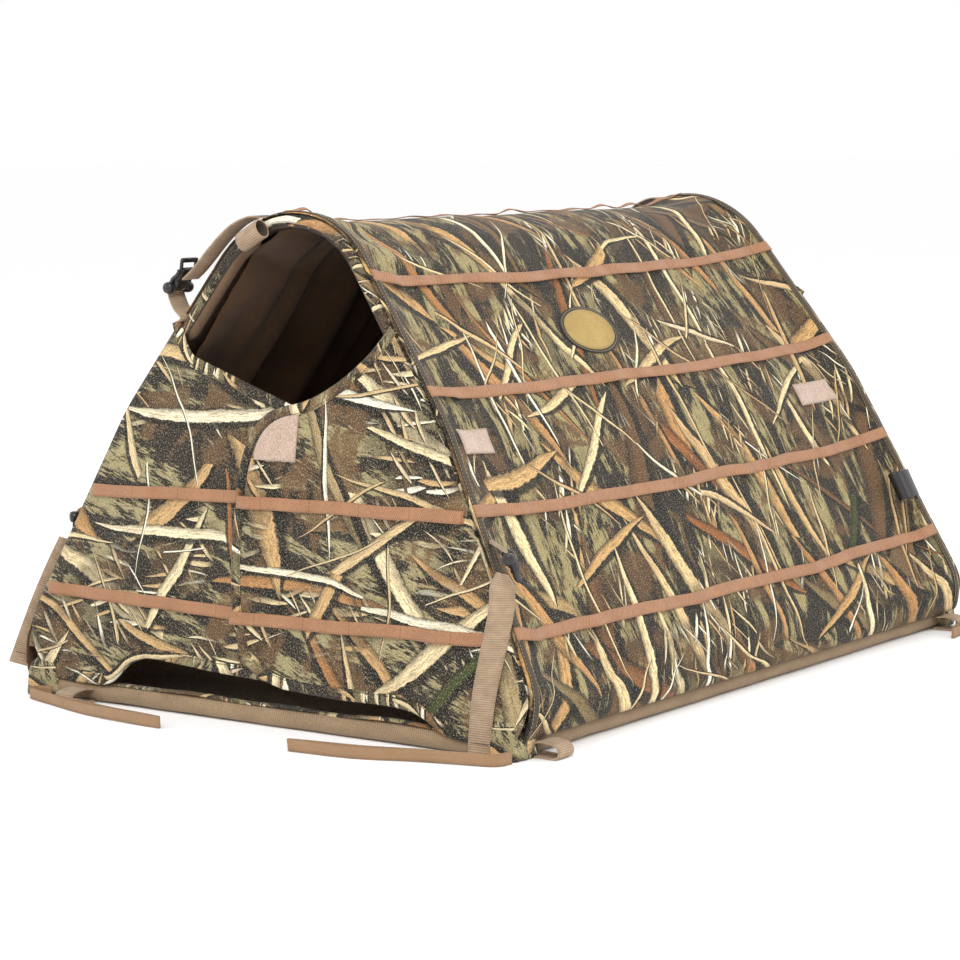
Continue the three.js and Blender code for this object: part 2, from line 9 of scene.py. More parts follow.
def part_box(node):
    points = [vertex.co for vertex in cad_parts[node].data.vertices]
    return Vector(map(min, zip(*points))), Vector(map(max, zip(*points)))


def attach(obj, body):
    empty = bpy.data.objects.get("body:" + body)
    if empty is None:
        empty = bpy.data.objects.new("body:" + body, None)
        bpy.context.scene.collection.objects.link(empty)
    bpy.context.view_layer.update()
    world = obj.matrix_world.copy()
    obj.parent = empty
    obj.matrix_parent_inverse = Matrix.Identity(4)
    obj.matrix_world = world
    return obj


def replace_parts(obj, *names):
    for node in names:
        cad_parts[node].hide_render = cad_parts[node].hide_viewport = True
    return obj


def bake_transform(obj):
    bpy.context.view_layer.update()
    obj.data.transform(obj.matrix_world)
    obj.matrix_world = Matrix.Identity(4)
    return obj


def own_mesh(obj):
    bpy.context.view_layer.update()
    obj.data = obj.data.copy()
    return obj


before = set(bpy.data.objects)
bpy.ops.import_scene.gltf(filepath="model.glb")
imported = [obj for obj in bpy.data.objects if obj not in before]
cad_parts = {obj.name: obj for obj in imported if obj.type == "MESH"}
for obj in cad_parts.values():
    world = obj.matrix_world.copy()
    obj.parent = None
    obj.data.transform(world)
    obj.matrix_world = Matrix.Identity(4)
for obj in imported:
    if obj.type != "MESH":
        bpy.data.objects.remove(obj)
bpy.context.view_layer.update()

# ---- Sizes, the same as the frame's ----
LENGTH, HEIGHT, LEAN = 0.910, 0.514, 0.141
CROWN_RADIUS = 0.115
SHOULDER, SHOULDER_RADIUS = (0.207, 0.308), 0.250
HIP, HIP_RADIUS = (0.340, 0.050), 0.070
FOOT = (0.316, 0.0)
BASE_X, BASE_Y = 0.3095, 0.444
HOOP_INSET, HOOP_DEPTH = 0.010, 0.008
STRAP_HEIGHTS = (0.1174, 0.2295, 0.3419, 0.452)
STRAP_WIDTH = 0.013
PORT_BOTTOM, PORT_CURVE, PORT_SLOPE = 0.320, 4.2, 0.33
LAP_X = 0.020
WEBBING_WIDTH, WEBBING_THICKNESS = 0.025, 0.0016
CLOTH_THICKNESS = 0.0008
ENDS = (("front", -1), ("rear", 1))
SIDES = (("left", -1), ("right", 1))
CORNERS = [(*side, *end) for end in ENDS for side in SIDES]  # side name, side, end name, end


# ---- The outline of the shell's section ----
def arc(center, radius, start, stop, steps=24):
    a = np.linspace(start, stop, steps)
    return [(center[0] + radius * math.cos(x), center[1] + radius * math.sin(x)) for x in a]


def rounded(before, corner, after, radius):
    """The arc that rounds the corner of an outline that turns to the left as it climbs."""
    a1 = math.atan2(corner[1] - before[1], corner[0] - before[0])
    a2 = math.atan2(after[1] - corner[1], after[0] - corner[0])
    back = radius * math.tan((a2 - a1) / 2)
    x, z = corner[0] - back * math.cos(a1), corner[1] - back * math.sin(a1)
    center = (x - radius * math.sin(a1), z + radius * math.cos(a1))
    return arc(center, radius, a1 - math.pi / 2, a2 - math.pi / 2)


def half_outline():
    """Points (half width, height) from the right foot to the crown."""
    center = (0.0, HEIGHT - CROWN_RADIUS)
    dx, dz = SHOULDER[0], SHOULDER[1] - center[1]
    start = math.atan2(dz, dx) + math.acos(CROWN_RADIUS / math.hypot(dx, dz))
    crown = arc(center, CROWN_RADIUS, start, math.pi / 2, 40)
    hip = rounded(FOOT, HIP, SHOULDER, HIP_RADIUS)
    shoulder = rounded(HIP, SHOULDER, crown[0], SHOULDER_RADIUS)
    return np.array([FOOT, *hip, *shoulder, *crown])


HALF = half_outline()
STEPS = np.hypot(*np.diff(HALF, axis=0).T)
FROM_FOOT = np.concatenate([[0], np.cumsum(STEPS)])
GIRTH = FROM_FOOT[-1]  # from a foot to the crown


def section(s):
    """(x, z) of the outline at s metres from the crown, positive on the right."""
    s = np.asarray(s, float)
    at = GIRTH - np.abs(s)
    return np.sign(s) * np.interp(at, FROM_FOOT, HALF[:, 0]), np.interp(at, FROM_FOOT, HALF[:, 1])


def girth_at(z):
    return GIRTH - np.interp(z, HALF[:, 1], FROM_FOOT)


def half_width(z, inset=0.0):
    return np.interp(z, HALF[:, 1], HALF[:, 0]) - inset


def end_y(end, z, inset=0.0):
    return end * (LENGTH / 2 - LEAN * np.asarray(z, float) - inset)


def noise2(x, y, seed=0, waves=7, low=0.6, high=1.7):
    """A smooth repeatable ripple from about -1 to 1, from sine waves in random directions."""
    rng = np.random.default_rng(seed)
    total = 0.0
    for _ in range(waves):
        a, k, phase = rng.uniform(0, math.pi), rng.uniform(low, high), rng.uniform(0, 2 * math.pi)
        total = total + np.sin(k * (np.cos(a) * x + np.sin(a) * y) + phase)
    return total / math.sqrt(waves * 1.6)


# ---- Materials ----
class Graph:
    """Short calls that add shader nodes and return their output sockets."""

    def __init__(self, tree):
        self.tree = tree
        tree.nodes.clear()

    def node(self, kind, inputs=(), **settings):
        n = self.tree.nodes.new(kind)
        for key, value in settings.items():
            setattr(n, key, value)
        for key, value in dict(inputs).items():
            if isinstance(value, bpy.types.NodeSocket):
                self.tree.links.new(value, n.inputs[key])
            else:
                n.inputs[key].default_value = value
        return n

    def math(self, operation, *values, clamp=False):
        inputs = dict(enumerate(values))
        return self.node("ShaderNodeMath", inputs, operation=operation, use_clamp=clamp).outputs[0]

    def mul(self, a, b, clamp=False):
        return self.math("MULTIPLY", a, b, clamp=clamp)

    def sub(self, a, b, clamp=False):
        return self.math("SUBTRACT", a, b, clamp=clamp)

    def mad(self, a, b, c):
        """a times b plus c."""
        return self.math("MULTIPLY_ADD", a, b, c)

    def size(self, value):
        return self.math("ABSOLUTE", value)

    def vector(self, operation, a, b):
        return self.node("ShaderNodeVectorMath", {0: a, 1: b}, operation=operation).outputs[0]

    def mix(self, factor, a, b, blend="MIX"):
        inputs = {0: factor, 6: a, 7: b}
        settings = {"data_type": "RGBA", "blend_type": blend}
        return self.node("ShaderNodeMix", inputs, **settings).outputs[2]

    def tint(self, color, mask, strength, added):
        return self.mix(self.mul(mask, strength), color, added)

    def noise(self, vector, scale, detail=3.0, roughness=0.55, distortion=0.0, output="Fac"):
        inputs = {"Vector": vector, "Scale": scale, "Detail": detail}
        inputs |= {"Roughness": roughness, "Distortion": distortion}
        return self.node("ShaderNodeTexNoise", inputs).outputs[output]

    def mapping(self, vector, scale=(1, 1, 1), turn=0.0, shift=(0, 0, 0)):
        inputs = {"Vector": vector, "Scale": scale, "Rotation": (0, 0, turn), "Location": shift}
        return self.node("ShaderNodeMapping", inputs).outputs[0]

    def ramp(self, factor, stops, smooth=False):
        n = self.node("ShaderNodeValToRGB", {"Fac": factor})
        if smooth:
            n.color_ramp.interpolation = "EASE"
        elements = n.color_ramp.elements
        while len(elements) < len(stops):
            elements.new(0.5)
        for element, (place, color) in zip(elements, stops):
            element.position = place
            element.color = color if len(color) == 4 else (*color, 1)
        return n.outputs[0]

    def step(self, value, low, high):
        """0 below low, 1 above high."""
        inputs = {"Value": value, "From Min": low, "From Max": high}
        return self.node("ShaderNodeMapRange", inputs).outputs[0]

    def split(self, vector):
        return self.node("ShaderNodeSeparateXYZ", {0: vector}).outputs

    def join(self, x, y, z=0.0):
        return self.node("ShaderNodeCombineXYZ", {0: x, 1: y, 2: z}).outputs[0]


def rgb(r, g, b):
    """A linear colour from 0-255 screen values."""
    def linear(c):
        c /= 255
        return c / 12.92 if c <= 0.04045 else ((c + 0.055) / 1.055) ** 2.4
    return (linear(r), linear(g), linear(b), 1)


OLIVE, CHARCOAL, BROWN = rgb(160, 148, 112), rgb(50, 42, 34), rgb(112, 86, 58)
CREAM, PALE, TAN = rgb(240, 224, 184), rgb(255, 250, 228), rgb(208, 174, 124)
RUST, GREEN, SHADOW = rgb(168, 114, 66), rgb(52, 76, 30), rgb(24, 18, 12)


def blade_group():
    """A scattering of leaf blades: where they are, the place across each one, and a random value."""
    tree = bpy.data.node_groups.new("blades", "ShaderNodeTree")
    g = Graph(tree)
    for name, kind in (("Vector", "Vector"), ("Angle", "Float"), ("Length", "Float"),
                       ("Pitch", "Float"), ("Half", "Float"), ("Bend", "Float")):
        tree.interface.new_socket(name, in_out="INPUT", socket_type="NodeSocket" + kind)
    for name in ("Mask", "Shade", "Across", "Random", "Along"):
        tree.interface.new_socket(name, in_out="OUTPUT", socket_type="NodeSocketFloat")
    given = g.node("NodeGroupInput").outputs
    warp = g.noise(given["Vector"], 7.0, 1.5, output="Color")
    warp = g.vector("SUBTRACT", warp, (0.5, 0.5, 0.5))
    bent = {0: warp, "Scale": given["Bend"]}
    warp = g.node("ShaderNodeVectorMath", bent, operation="SCALE").outputs[0]
    place = g.vector("ADD", given["Vector"], warp)
    turned = g.node("ShaderNodeVectorRotate", {"Vector": place, "Angle": given["Angle"]},
                    rotation_type="Z_AXIS").outputs[0]
    x, y, _ = g.split(turned)
    cell = g.join(g.math("DIVIDE", x, given["Length"]), g.math("DIVIDE", y, given["Pitch"]))
    voronoi = g.node("ShaderNodeTexVoronoi", {"Vector": cell, "Scale": 1.0}, voronoi_dimensions="2D")
    dx, dy, _ = g.split(g.vector("SUBTRACT", cell, voronoi.outputs["Position"]))
    red, green, blue = g.node("ShaderNodeSeparateColor", {0: voronoi.outputs["Color"]}).outputs
    dy = g.mul(dy, given["Pitch"])
    along = g.mul(dx, given["Length"])
    slope = g.mul(g.sub(red, 0.5), 0.55)
    offset = g.mad(along, slope, dy)
    curve = g.mul(g.mul(dx, dx), g.sub(blue, 0.5))
    offset = g.mad(curve, g.mul(given["Length"], 0.35), offset)
    taper = g.sub(1.0, g.math("POWER", g.mul(dx, 1.7), 2.0), clamp=True)
    width = g.mad(blue, 1.1, 0.35)
    width = g.mul(g.mul(width, given["Half"]), taper)
    ragged = g.sub(g.noise(given["Vector"], 150.0, 2.0, 0.6), 0.5)
    offset = g.mad(ragged, g.mul(width, 0.7), offset)
    across = g.math("DIVIDE", offset, g.math("MAXIMUM", width, 1e-6))
    size = g.size(across)
    out = g.node("NodeGroupOutput").inputs
    mask = g.mul(g.sub(1.0, size), 6.0, clamp=True)
    cast = g.size(g.sub(across, 0.45))
    shade = g.mul(g.sub(1.75, cast), 2.2, clamp=True)
    for name, value in (("Mask", mask), ("Shade", shade), ("Across", across),
                        ("Random", green), ("Along", along)):
        tree.links.new(value, out[name])
    return tree


BLADES = blade_group()
# Angle, length, pitch, half width, bend, the share of cells that show, and their colours.
LAYERS = (
    (1.25, 0.240, 0.075, 0.0150, 0.034, 0.50, (BROWN, TAN, RUST, BROWN)),
    (-0.62, 0.200, 0.085, 0.0115, 0.030, 0.42, (TAN, OLIVE, BROWN, RUST)),
    (1.95, 0.200, 0.056, 0.0100, 0.040, 0.52, (CREAM, TAN, RUST, TAN)),
    (0.42, 0.170, 0.070, 0.0075, 0.034, 0.34, (CREAM, TAN, TAN, CREAM)),
    (1.45, 0.210, 0.060, 0.0058, 0.030, 0.42, (PALE, CREAM, TAN, CREAM)),
    (2.55, 0.150, 0.060, 0.0034, 0.040, 0.32, (PALE, TAN, CREAM, RUST)),
    (0.95, 0.140, 0.052, 0.0017, 0.040, 0.26, (PALE, CREAM, TAN, CREAM)),
)
FINE_LAYERS = (
    (1.20, 0.050, 0.0110, 0.0024, 0.030, 0.62, (PALE, CREAM, TAN, CREAM)),
    (2.10, 0.045, 0.0105, 0.0019, 0.035, 0.50, (PALE, TAN, CREAM, BROWN)),
)


def add_blades(g, color, vector, layer, allowed=None):
    """Paints one layer of blades, each with its shadow, grain and rounded shading, over a colour."""
    angle, length, pitch, half, bend, share, colors = layer
    n = g.node("ShaderNodeGroup", node_tree=BLADES)
    for key, value in (("Angle", angle), ("Length", length), ("Pitch", pitch),
                       ("Half", half), ("Bend", bend)):
        n.inputs[key].default_value = value
    g.tree.links.new(g.mapping(vector, shift=(3.1 * angle, 1.7 * angle, 0)), n.inputs["Vector"])
    out = n.outputs
    shown = g.math("LESS_THAN", out["Random"], share)
    if allowed is not None:
        shown = g.mul(shown, allowed)
    pick = g.math("DIVIDE", out["Random"], share)
    stops = [((i + 0.5) / len(colors), c) for i, c in enumerate(colors)]
    base = g.ramp(pick, stops)
    grain_at = g.join(g.mul(out["Along"], 45.0), g.mul(out["Across"], 3.6), pick)
    grain = g.step(g.noise(grain_at, 1.6, 3.0, 0.75), 0.36, 0.56)
    base = g.tint(base, g.sub(1.0, grain), 0.62, BROWN)
    side = g.step(out["Across"], -1.0, -0.1)
    base = g.tint(base, g.sub(1.0, side), 0.65, SHADOW)
    vein = g.step(g.size(g.sub(out["Across"], 0.1)), 0.10, 0.02)
    base = g.tint(base, vein, 0.35, BROWN)
    shaded = g.tint(color, g.mul(out["Shade"], shown), 0.88, SHADOW)
    return g.mix(g.mul(out["Mask"], shown), shaded, base)


def camo_color(g, vector, busy=1.0):
    """Olive ground, streaks of dark bark, and layers of dry reeds; busy adds the fine litter."""
    streaks = g.noise(g.mapping(vector, (26, 7, 1), 0.25), 1.0, 4.0, 0.65, 1.0)
    ragged = g.noise(g.mapping(vector, (420, 60, 1), 0.25), 1.0, 3.0, 0.75)
    value = g.mad(ragged, 0.42, streaks)
    mottled = g.mix(g.noise(vector, 60.0, 4.0, 0.7), rgb(132, 122, 88), rgb(186, 174, 134))
    color = g.mix(g.step(value, 0.66, 0.70), mottled, CHARCOAL)
    patches = g.noise(g.mapping(vector, (10, 16, 1), 1.0), 1.0, 3.0, 0.6, 0.6)
    brown = g.step(g.mad(ragged, 0.32, patches), 0.67, 0.72)
    color = g.tint(color, brown, 0.85, BROWN)
    speckle = g.step(g.noise(vector, 520.0, 2.0, 0.7), 0.57, 0.66)
    color = g.tint(color, speckle, 0.6, CHARCOAL)
    litter = g.step(g.noise(vector, 8.0, 2.0), 0.58 - 0.12 * busy, 0.64 - 0.12 * busy)
    for layer in LAYERS[:3]:
        color = add_blades(g, color, vector, layer)
    color = g.tint(color, litter, 0.5, SHADOW)
    for layer in FINE_LAYERS:
        color = add_blades(g, color, vector, layer, litter)
    for layer in LAYERS[3:]:
        color = add_blades(g, color, vector, layer)
    leaf = (0.6, 0.22, 0.30, 0.007, 0.03, 0.10, (GREEN, GREEN))
    color = add_blades(g, color, vector, leaf)
    specks = g.step(g.noise(g.mapping(vector, (700, 420, 1), 0.6), 1.0, 3.0, 0.75), 0.52, 0.64)
    color = g.tint(color, specks, 0.42, SHADOW)
    glint_at = g.mapping(vector, (520, 760, 1), 0.3, (0.5, 0.2, 0))
    glints = g.step(g.noise(glint_at, 1.0, 3.0, 0.75), 0.54, 0.66)
    return g.tint(color, glints, 0.34, PALE)


def new_material(name):
    material = bpy.data.materials.new(name)
    material.use_nodes = True
    return material, Graph(material.node_tree)


def finish_material(g, color, roughness, height=None, strength=0.2, distance=0.001, **constants):
    inputs = {"Base Color": color, "Roughness": roughness, **constants}
    if height is not None:
        bump = {"Height": height, "Strength": strength, "Distance": distance}
        inputs["Normal"] = g.node("ShaderNodeBump", bump).outputs[0]
    shader = g.node("ShaderNodeBsdfPrincipled", inputs)
    g.tree.links.new(shader.outputs[0], g.node("ShaderNodeOutputMaterial").inputs[0])


def cloth_uv(g):
    return g.node("ShaderNodeUVMap", uv_map="cloth").outputs[0]


def weave(g, vector, pitch):
    """The over and under of plain weave threads, as a height."""
    x, y, _ = g.split(vector)
    k = 2 * math.pi / pitch
    across = g.math("SINE", g.mul(x, k))
    along = g.math("SINE", g.mul(y, k))
    return g.mul(across, along)


def camo_material(name, shift=(0, 0, 0), turn=0.0, busy=1.0, contrast=1.15):
    """Printed cloth; a contrast above 1 darkens the shadows and lifts the lights to match."""
    material, g = new_material(name)
    vector = cloth_uv(g)
    color = camo_color(g, g.mapping(vector, turn=turn, shift=shift), busy)
    color = g.node("ShaderNodeGamma", {"Color": color, "Gamma": contrast}).outputs[0]
    color = g.vector("MINIMUM", g.vector("MULTIPLY", color, (contrast,) * 3), (0.95,) * 3)
    threads = weave(g, vector, 0.0011)
    crease = g.noise(vector, 55.0, 3.0, 0.6)
    height = g.mad(threads, 0.25, g.mul(crease, 2.0))
    sheen = {"Sheen Weight": 0.08, "Sheen Roughness": 0.5, "Specular IOR Level": 0.25}
    finish_material(g, color, 0.86, height, strength=0.35, distance=0.0009, **sheen)
    return material


def woven_material(name, color, dark, pitch=0.0012, tacks=0.0, twill=False):
    """Plain or twill tape or cloth, with slubs, soiled patches and, if asked, sewn tacks."""
    material, g = new_material(name)
    vector = cloth_uv(g)
    x, y, _ = g.split(vector)
    if twill:
        lean = g.math("ADD", x, g.mul(y, 0.6))
        threads = g.math("SINE", g.mul(lean, 2 * math.pi / pitch))
    else:
        threads = weave(g, vector, pitch)
    slubs = g.noise(g.mapping(vector, (260, 900, 1)), 1.0, 2.0, 0.6)
    soil = g.noise(vector, 26.0, 4.0, 0.6)
    # Darker where the threads dip: painted shade in the hollows of the weave, with the slubs' own tone
    # and soiled patches.
    shade = g.mad(threads, 0.22, g.mad(slubs, 0.8, -0.05))
    shade = g.mad(g.sub(soil, 0.5), 0.7, shade)
    if tacks:
        spot = g.size(g.sub(g.math("FRACT", g.math("DIVIDE", x, tacks)), 0.5))
        line = g.step(spot, 0.010, 0.004)
        shade = g.mad(line, -0.35, shade)
    color = g.mix(g.mul(shade, 1.0, clamp=True), dark, color)
    height = g.mad(slubs, 0.5, threads)
    fuzz = {"Sheen Weight": 0.15, "Sheen Roughness": 0.5, "Specular IOR Level": 0.3}
    finish_material(g, color, 0.85, height, strength=0.5, distance=0.0006, **fuzz)
    return material


def webbing_material(name, color, dark, pitch=0.0022):
    """Ribs across the webbing, with the finer threads of each rib."""
    material, g = new_material(name)
    vector = cloth_uv(g)
    x, y, _ = g.split(vector)
    ribs = g.math("SINE", g.mul(x, 2 * math.pi / pitch))
    threads = g.math("SINE", g.mul(y, 2 * math.pi / 0.0013))
    height = g.mad(threads, 0.35, ribs)
    soil = g.noise(g.mapping(vector, (90, 60, 1)), 1.0, 3.0, 0.6)
    # Darker in the grooves between the ribs and threads: painted shade, over soiled patches.
    shade = g.mad(height, 0.20, g.mad(soil, 0.9, 0.15))
    color = g.mix(g.mul(shade, 1.0, clamp=True), dark, color)
    fuzz = {"Sheen Weight": 0.12, "Specular IOR Level": 0.3}
    finish_material(g, color, 0.8, height, strength=0.8, distance=0.0006, **fuzz)
    return material


def loop_material(name, color, dark):
    """The soft pile of a hook-and-loop patch."""
    material, g = new_material(name)
    vector = cloth_uv(g)
    pile = g.noise(vector, 520.0, 4.0, 0.85)
    broad = g.noise(vector, 60.0, 2.0)
    # Darker where the pile is low: painted shade between the loops, over broad tone that varies at
    # random.
    shade = g.mad(g.sub(broad, 0.5), 0.5, g.step(pile, 0.32, 0.62))
    color = g.mix(g.mul(shade, 1.0, clamp=True), dark, color)
    fuzz = {"Sheen Weight": 0.4, "Sheen Roughness": 0.6}
    finish_material(g, color, 0.95, pile, strength=0.9, distance=0.0008, **fuzz)
    return material


def plain_material(name, color, dark, roughness, metallic=0.0, scale=60.0, bump=0.15):
    """Moulded plastic, paint or plated steel: faint mottling, scuffs and an uneven gloss."""
    material, g = new_material(name)
    place = g.node("ShaderNodeTexCoord").outputs["Object"]
    mottle = g.noise(place, scale, 4.0, 0.6)
    scuff = g.step(g.noise(g.mapping(place, (900, 120, 300)), 1.0, 3.0, 0.7), 0.60, 0.72)
    shade = g.mix(mottle, dark, color)
    shade = g.tint(shade, scuff, 0.25, rgb(150, 140, 130))
    gloss = g.mad(scuff, 0.2, g.mad(mottle, 0.16, roughness - 0.08))
    fine = g.noise(place, 1400.0, 2.0)
    finish_material(g, shade, gloss, fine, bump, distance=0.0002, Metallic=metallic)
    return material


SHELL_CAMO = camo_material("shell_camo", busy=0.4, contrast=1.35)
END_CAMO = camo_material("end_camo", (0.37, 0.83, 0), 1.9, 0.55)
TRIM_CAMO = camo_material("trim_camo", (1.31, 0.29, 0), 0.7, 0.8)
LINING = woven_material("brown_lining", rgb(138, 100, 64), rgb(72, 48, 28), 0.0009)
ROLL_CLOTH = woven_material("brown_roll", rgb(142, 112, 84), rgb(84, 62, 44), 0.0011)
SEAM_TAPE = woven_material("seam_tape", rgb(104, 84, 60), rgb(44, 34, 24), 0.0010)
TAN_CLOTH = woven_material("tan_cloth", rgb(186, 160, 126), rgb(126, 102, 76), 0.0024, twill=True)
STUBBLE = woven_material("stubble_tape", rgb(204, 154, 116), rgb(140, 96, 66), 0.0022,
                         tacks=0.062, twill=True)
RIBBON = woven_material("tie_tape", rgb(190, 154, 116), rgb(150, 116, 84), 0.0008)
WEBBING = webbing_material("taupe_webbing", rgb(204, 176, 146), rgb(132, 106, 82))
# A darker copy of the taupe webbing: painted shade, for the carrying strap's underside and the inside of
# its ring.
SHADED_WEBBING = webbing_material("webbing_painted_shade", rgb(98, 78, 62), rgb(52, 40, 32))
PILE = loop_material("loop_pile", rgb(212, 184, 162), rgb(128, 98, 80))
BADGE = woven_material("badge_face", rgb(214, 184, 106), rgb(160, 128, 64), 0.0009)
BADGE_EDGE = woven_material("badge_edge", rgb(60, 50, 30), rgb(30, 24, 14), 0.0012, twill=True)
THREAD = woven_material("thread", rgb(214, 200, 170), rgb(150, 134, 108), 0.0006, twill=True)
DARK_THREAD = woven_material("dark_thread", rgb(70, 58, 46), rgb(34, 28, 22), 0.0006, twill=True)
PLASTIC = plain_material("black_acetal", rgb(46, 43, 43), rgb(24, 22, 22), 0.26)
TUBE = plain_material("brown_coat", rgb(62, 50, 42), rgb(40, 32, 27), 0.42, 0.3)
STEEL = plain_material("plated_steel", rgb(176, 178, 182), rgb(140, 142, 146), 0.3, 1.0)


# ---- Mesh helpers ----
def put(name, mesh, *looks):
    obj = bpy.data.objects.new(name, mesh)
    bpy.context.scene.collection.objects.link(obj)
    for look in looks:
        mesh.materials.append(look)
    return obj


def grid_faces(n, m, closed=False):
    return [(i * m + j, i * m + (j + 1) % m, (i + 1) * m + (j + 1) % m, (i + 1) * m + j)
            for i in range(n - 1) for j in range(m if closed else m - 1)]


def bar_faces(base, rings, sides):
    """The faces of a closed bar whose rings of points start at base."""
    faces = []
    for r in range(rings - 1):
        for k in range(sides):
            a, b = base + r * sides + k, base + r * sides + (k + 1) % sides
            faces.append((a, b, b + sides, a + sides))
    last = base + (rings - 1) * sides
    return faces + [tuple(range(base, base + sides))[::-1], tuple(range(last, last + sides))]


def distances(path):
    """How far along a path each of its points lies."""
    return np.concatenate([[0], np.cumsum(np.linalg.norm(np.diff(path, axis=0), axis=1))])


def grid_mesh(name, rows, looks, closed=False, shift=(0.0, 0.0), uv=None):
    """A mesh through rows of points (n, m, 3), with a UV map in metres of cloth."""
    rows = np.asarray(rows, float)
    n, m = rows.shape[:2]
    mesh = bpy.data.meshes.new(name)
    columns = m if closed else m - 1
    mesh.from_pydata(rows.reshape(-1, 3).tolist(), [], grid_faces(n, m, closed))
    if uv is None:
        ring = np.concatenate([rows, rows[:, :1]], 1)
        across = np.linalg.norm(np.diff(ring, axis=1), axis=2).mean(0)
        along = np.linalg.norm(np.diff(rows, axis=0), axis=2).mean(1)
        v = np.concatenate([[0], np.cumsum(across)]) - across[: m - 1].sum() / 2
        u = np.concatenate([[0], np.cumsum(along)])
        uv = np.stack(np.meshgrid(u, v, indexing="ij"), 2)
    layer = mesh.uv_layers.new(name="cloth")
    flat = []
    for i in range(n - 1):
        for j in range(columns):
            for a, b in ((i, j), (i, j + 1), (i + 1, j + 1), (i + 1, j)):
                flat += [uv[a, b, 0] + shift[0], uv[a, b, 1] + shift[1]]
    layer.data.foreach_set("uv", flat)
    mesh.polygons.foreach_set("use_smooth", [True] * len(mesh.polygons))
    return put(name, mesh, *looks)


def thicken(obj, thickness, offset=-1.0, inner=0, rim=0):
    m = obj.modifiers.new("thickness", "SOLIDIFY")
    m.thickness, m.offset, m.use_even_offset = thickness, offset, False
    m.material_offset, m.material_offset_rim = inner, rim
    return obj


def subdivide(obj, levels=1):
    m = obj.modifiers.new("smooth", "SUBSURF")
    m.levels = m.render_levels = levels
    return obj


def unit(*v):
    v = np.array(v, float)
    return v / np.linalg.norm(v)


def tangents(path):
    t = np.gradient(np.asarray(path, float), axis=0)
    return t / np.linalg.norm(t, axis=1)[:, None]


def beside(path):
    """The direction to the left of a flat line at each of its points."""
    t = tangents(path)
    return np.stack([-t[:, 1], t[:, 0]], 1)


def frames_along(path, reference):
    """Tangent and side directions along a path, the side kept square to the reference."""
    t = tangents(path)
    side = np.cross(t, np.broadcast_to(reference, t.shape))
    side /= np.linalg.norm(side, axis=1)[:, None]
    return t, side


def smooth_path(points, count):
    """A Catmull-Rom curve through the points, evenly spaced."""
    p = np.asarray(points, float)
    p = np.concatenate([[2 * p[0] - p[1]], p, [2 * p[-1] - p[-2]]])
    out = []
    for a, b, c, d in zip(p[:-3], p[1:-2], p[2:-1], p[3:]):
        for t in np.linspace(0, 1, 24, endpoint=False):
            out.append(0.5 * (2 * b + (c - a) * t + (2 * a - 5 * b + 4 * c - d) * t**2
                              + (3 * b - a - 3 * c + d) * t**3))
    out = np.array(out + [p[-2]])
    length = distances(out)
    even = np.linspace(0, length[-1], count)
    return np.stack([np.interp(even, length, out[:, k]) for k in range(out.shape[1])], 1)


def tape(name, path, across, width, thickness, look, shift=(0.0, 0.0), columns=5):
    """A flat strap: its middle line, the direction across it at each point, and a firm thickness."""
    path, across = np.asarray(path, float), np.asarray(across, float)
    across = across / np.linalg.norm(across, axis=-1, keepdims=True)
    across = np.broadcast_to(across, path.shape)
    k = np.linspace(-width / 2, width / 2, columns)
    rows = path[:, None] + across[:, None] * k[None, :, None]
    return thicken(grid_mesh(name, rows, [look], shift=shift), thickness, 0.0)


def tube_rows(path, radius, sides=14, reference=(0, 1, 0)):
    path = np.asarray(path, float)
    t, side = frames_along(path, reference)
    up = np.cross(side, t)
    radius = np.broadcast_to(radius, len(path))
    a = np.linspace(0, 2 * math.pi, sides, endpoint=False)
    ring = np.cos(a)[None, :, None] * side[:, None] + np.sin(a)[None, :, None] * up[:, None]
    return path[:, None] + ring * radius[:, None, None]


def along(values, far, place):
    """The value at a place along a path, from the values at its points and how far along they lie."""
    return np.array([np.interp(place, far, values[:, k]) for k in range(values.shape[1])])


def stitches(name, path, out, look, pitch=0.0038, length=0.0026, radius=0.00032, lift=0.0004):
    """A row of short thread stitches that lie on a surface along a path."""
    path, out = np.asarray(path, float), np.asarray(out, float)
    out = np.broadcast_to(out, path.shape)
    far = distances(path)
    verts, faces = [], []
    for start in np.arange(pitch / 2, far[-1] - pitch / 2, pitch):
        ends = [along(path, far, start + d) for d in (0, length)]
        up = along(out, far, start)
        up /= np.linalg.norm(up)
        t = (ends[1] - ends[0]) / np.linalg.norm(ends[1] - ends[0])
        side = np.cross(t, up)
        rings = [(0.0, -0.3), (0.3, 0.8), (0.7, 0.8), (1.0, -0.3)]
        base = len(verts)
        for share, rise in rings:
            center = ends[0] * (1 - share) + ends[1] * share + up * (lift * rise)
            for a in (0.0, 0.5, 1.0, 1.5):
                a *= math.pi
                verts.append(center + radius * (math.cos(a) * side + math.sin(a) * up))
        faces += bar_faces(base, 4, 4)
    mesh = bpy.data.meshes.new(name)
    mesh.from_pydata([v.tolist() for v in verts], [], faces)
    layer = mesh.uv_layers.new(name="cloth")
    loops = np.zeros(2 * len(mesh.loops))
    loops[0::2] = [mesh.vertices[l.vertex_index].co.y for l in mesh.loops]
    loops[1::2] = [mesh.vertices[l.vertex_index].co.z for l in mesh.loops]
    layer.data.foreach_set("uv", loops)
    return put(name, mesh, look)


# ---- Camera, light and floor ----
def look_from(azimuth, elevation, roll, lens, place):
    a, e, r = (math.radians(v) for v in (azimuth, elevation, roll))
    back = Vector((math.sin(a) * math.cos(e), -math.cos(a) * math.cos(e), math.sin(e)))
    right = Vector((math.cos(a), math.sin(a), 0))
    up = back.cross(right)
    tilted = right * math.cos(r) + up * math.sin(r)
    data = bpy.data.cameras.new("camera")
    data.lens, data.sensor_width = lens, 36
    obj = bpy.data.objects.new("camera", data)
    axes = Matrix((tilted, back.cross(tilted), back)).transposed().to_4x4()
    obj.matrix_world = Matrix.Translation(place) @ axes
    bpy.context.scene.collection.objects.link(obj)
    bpy.context.scene.camera = obj


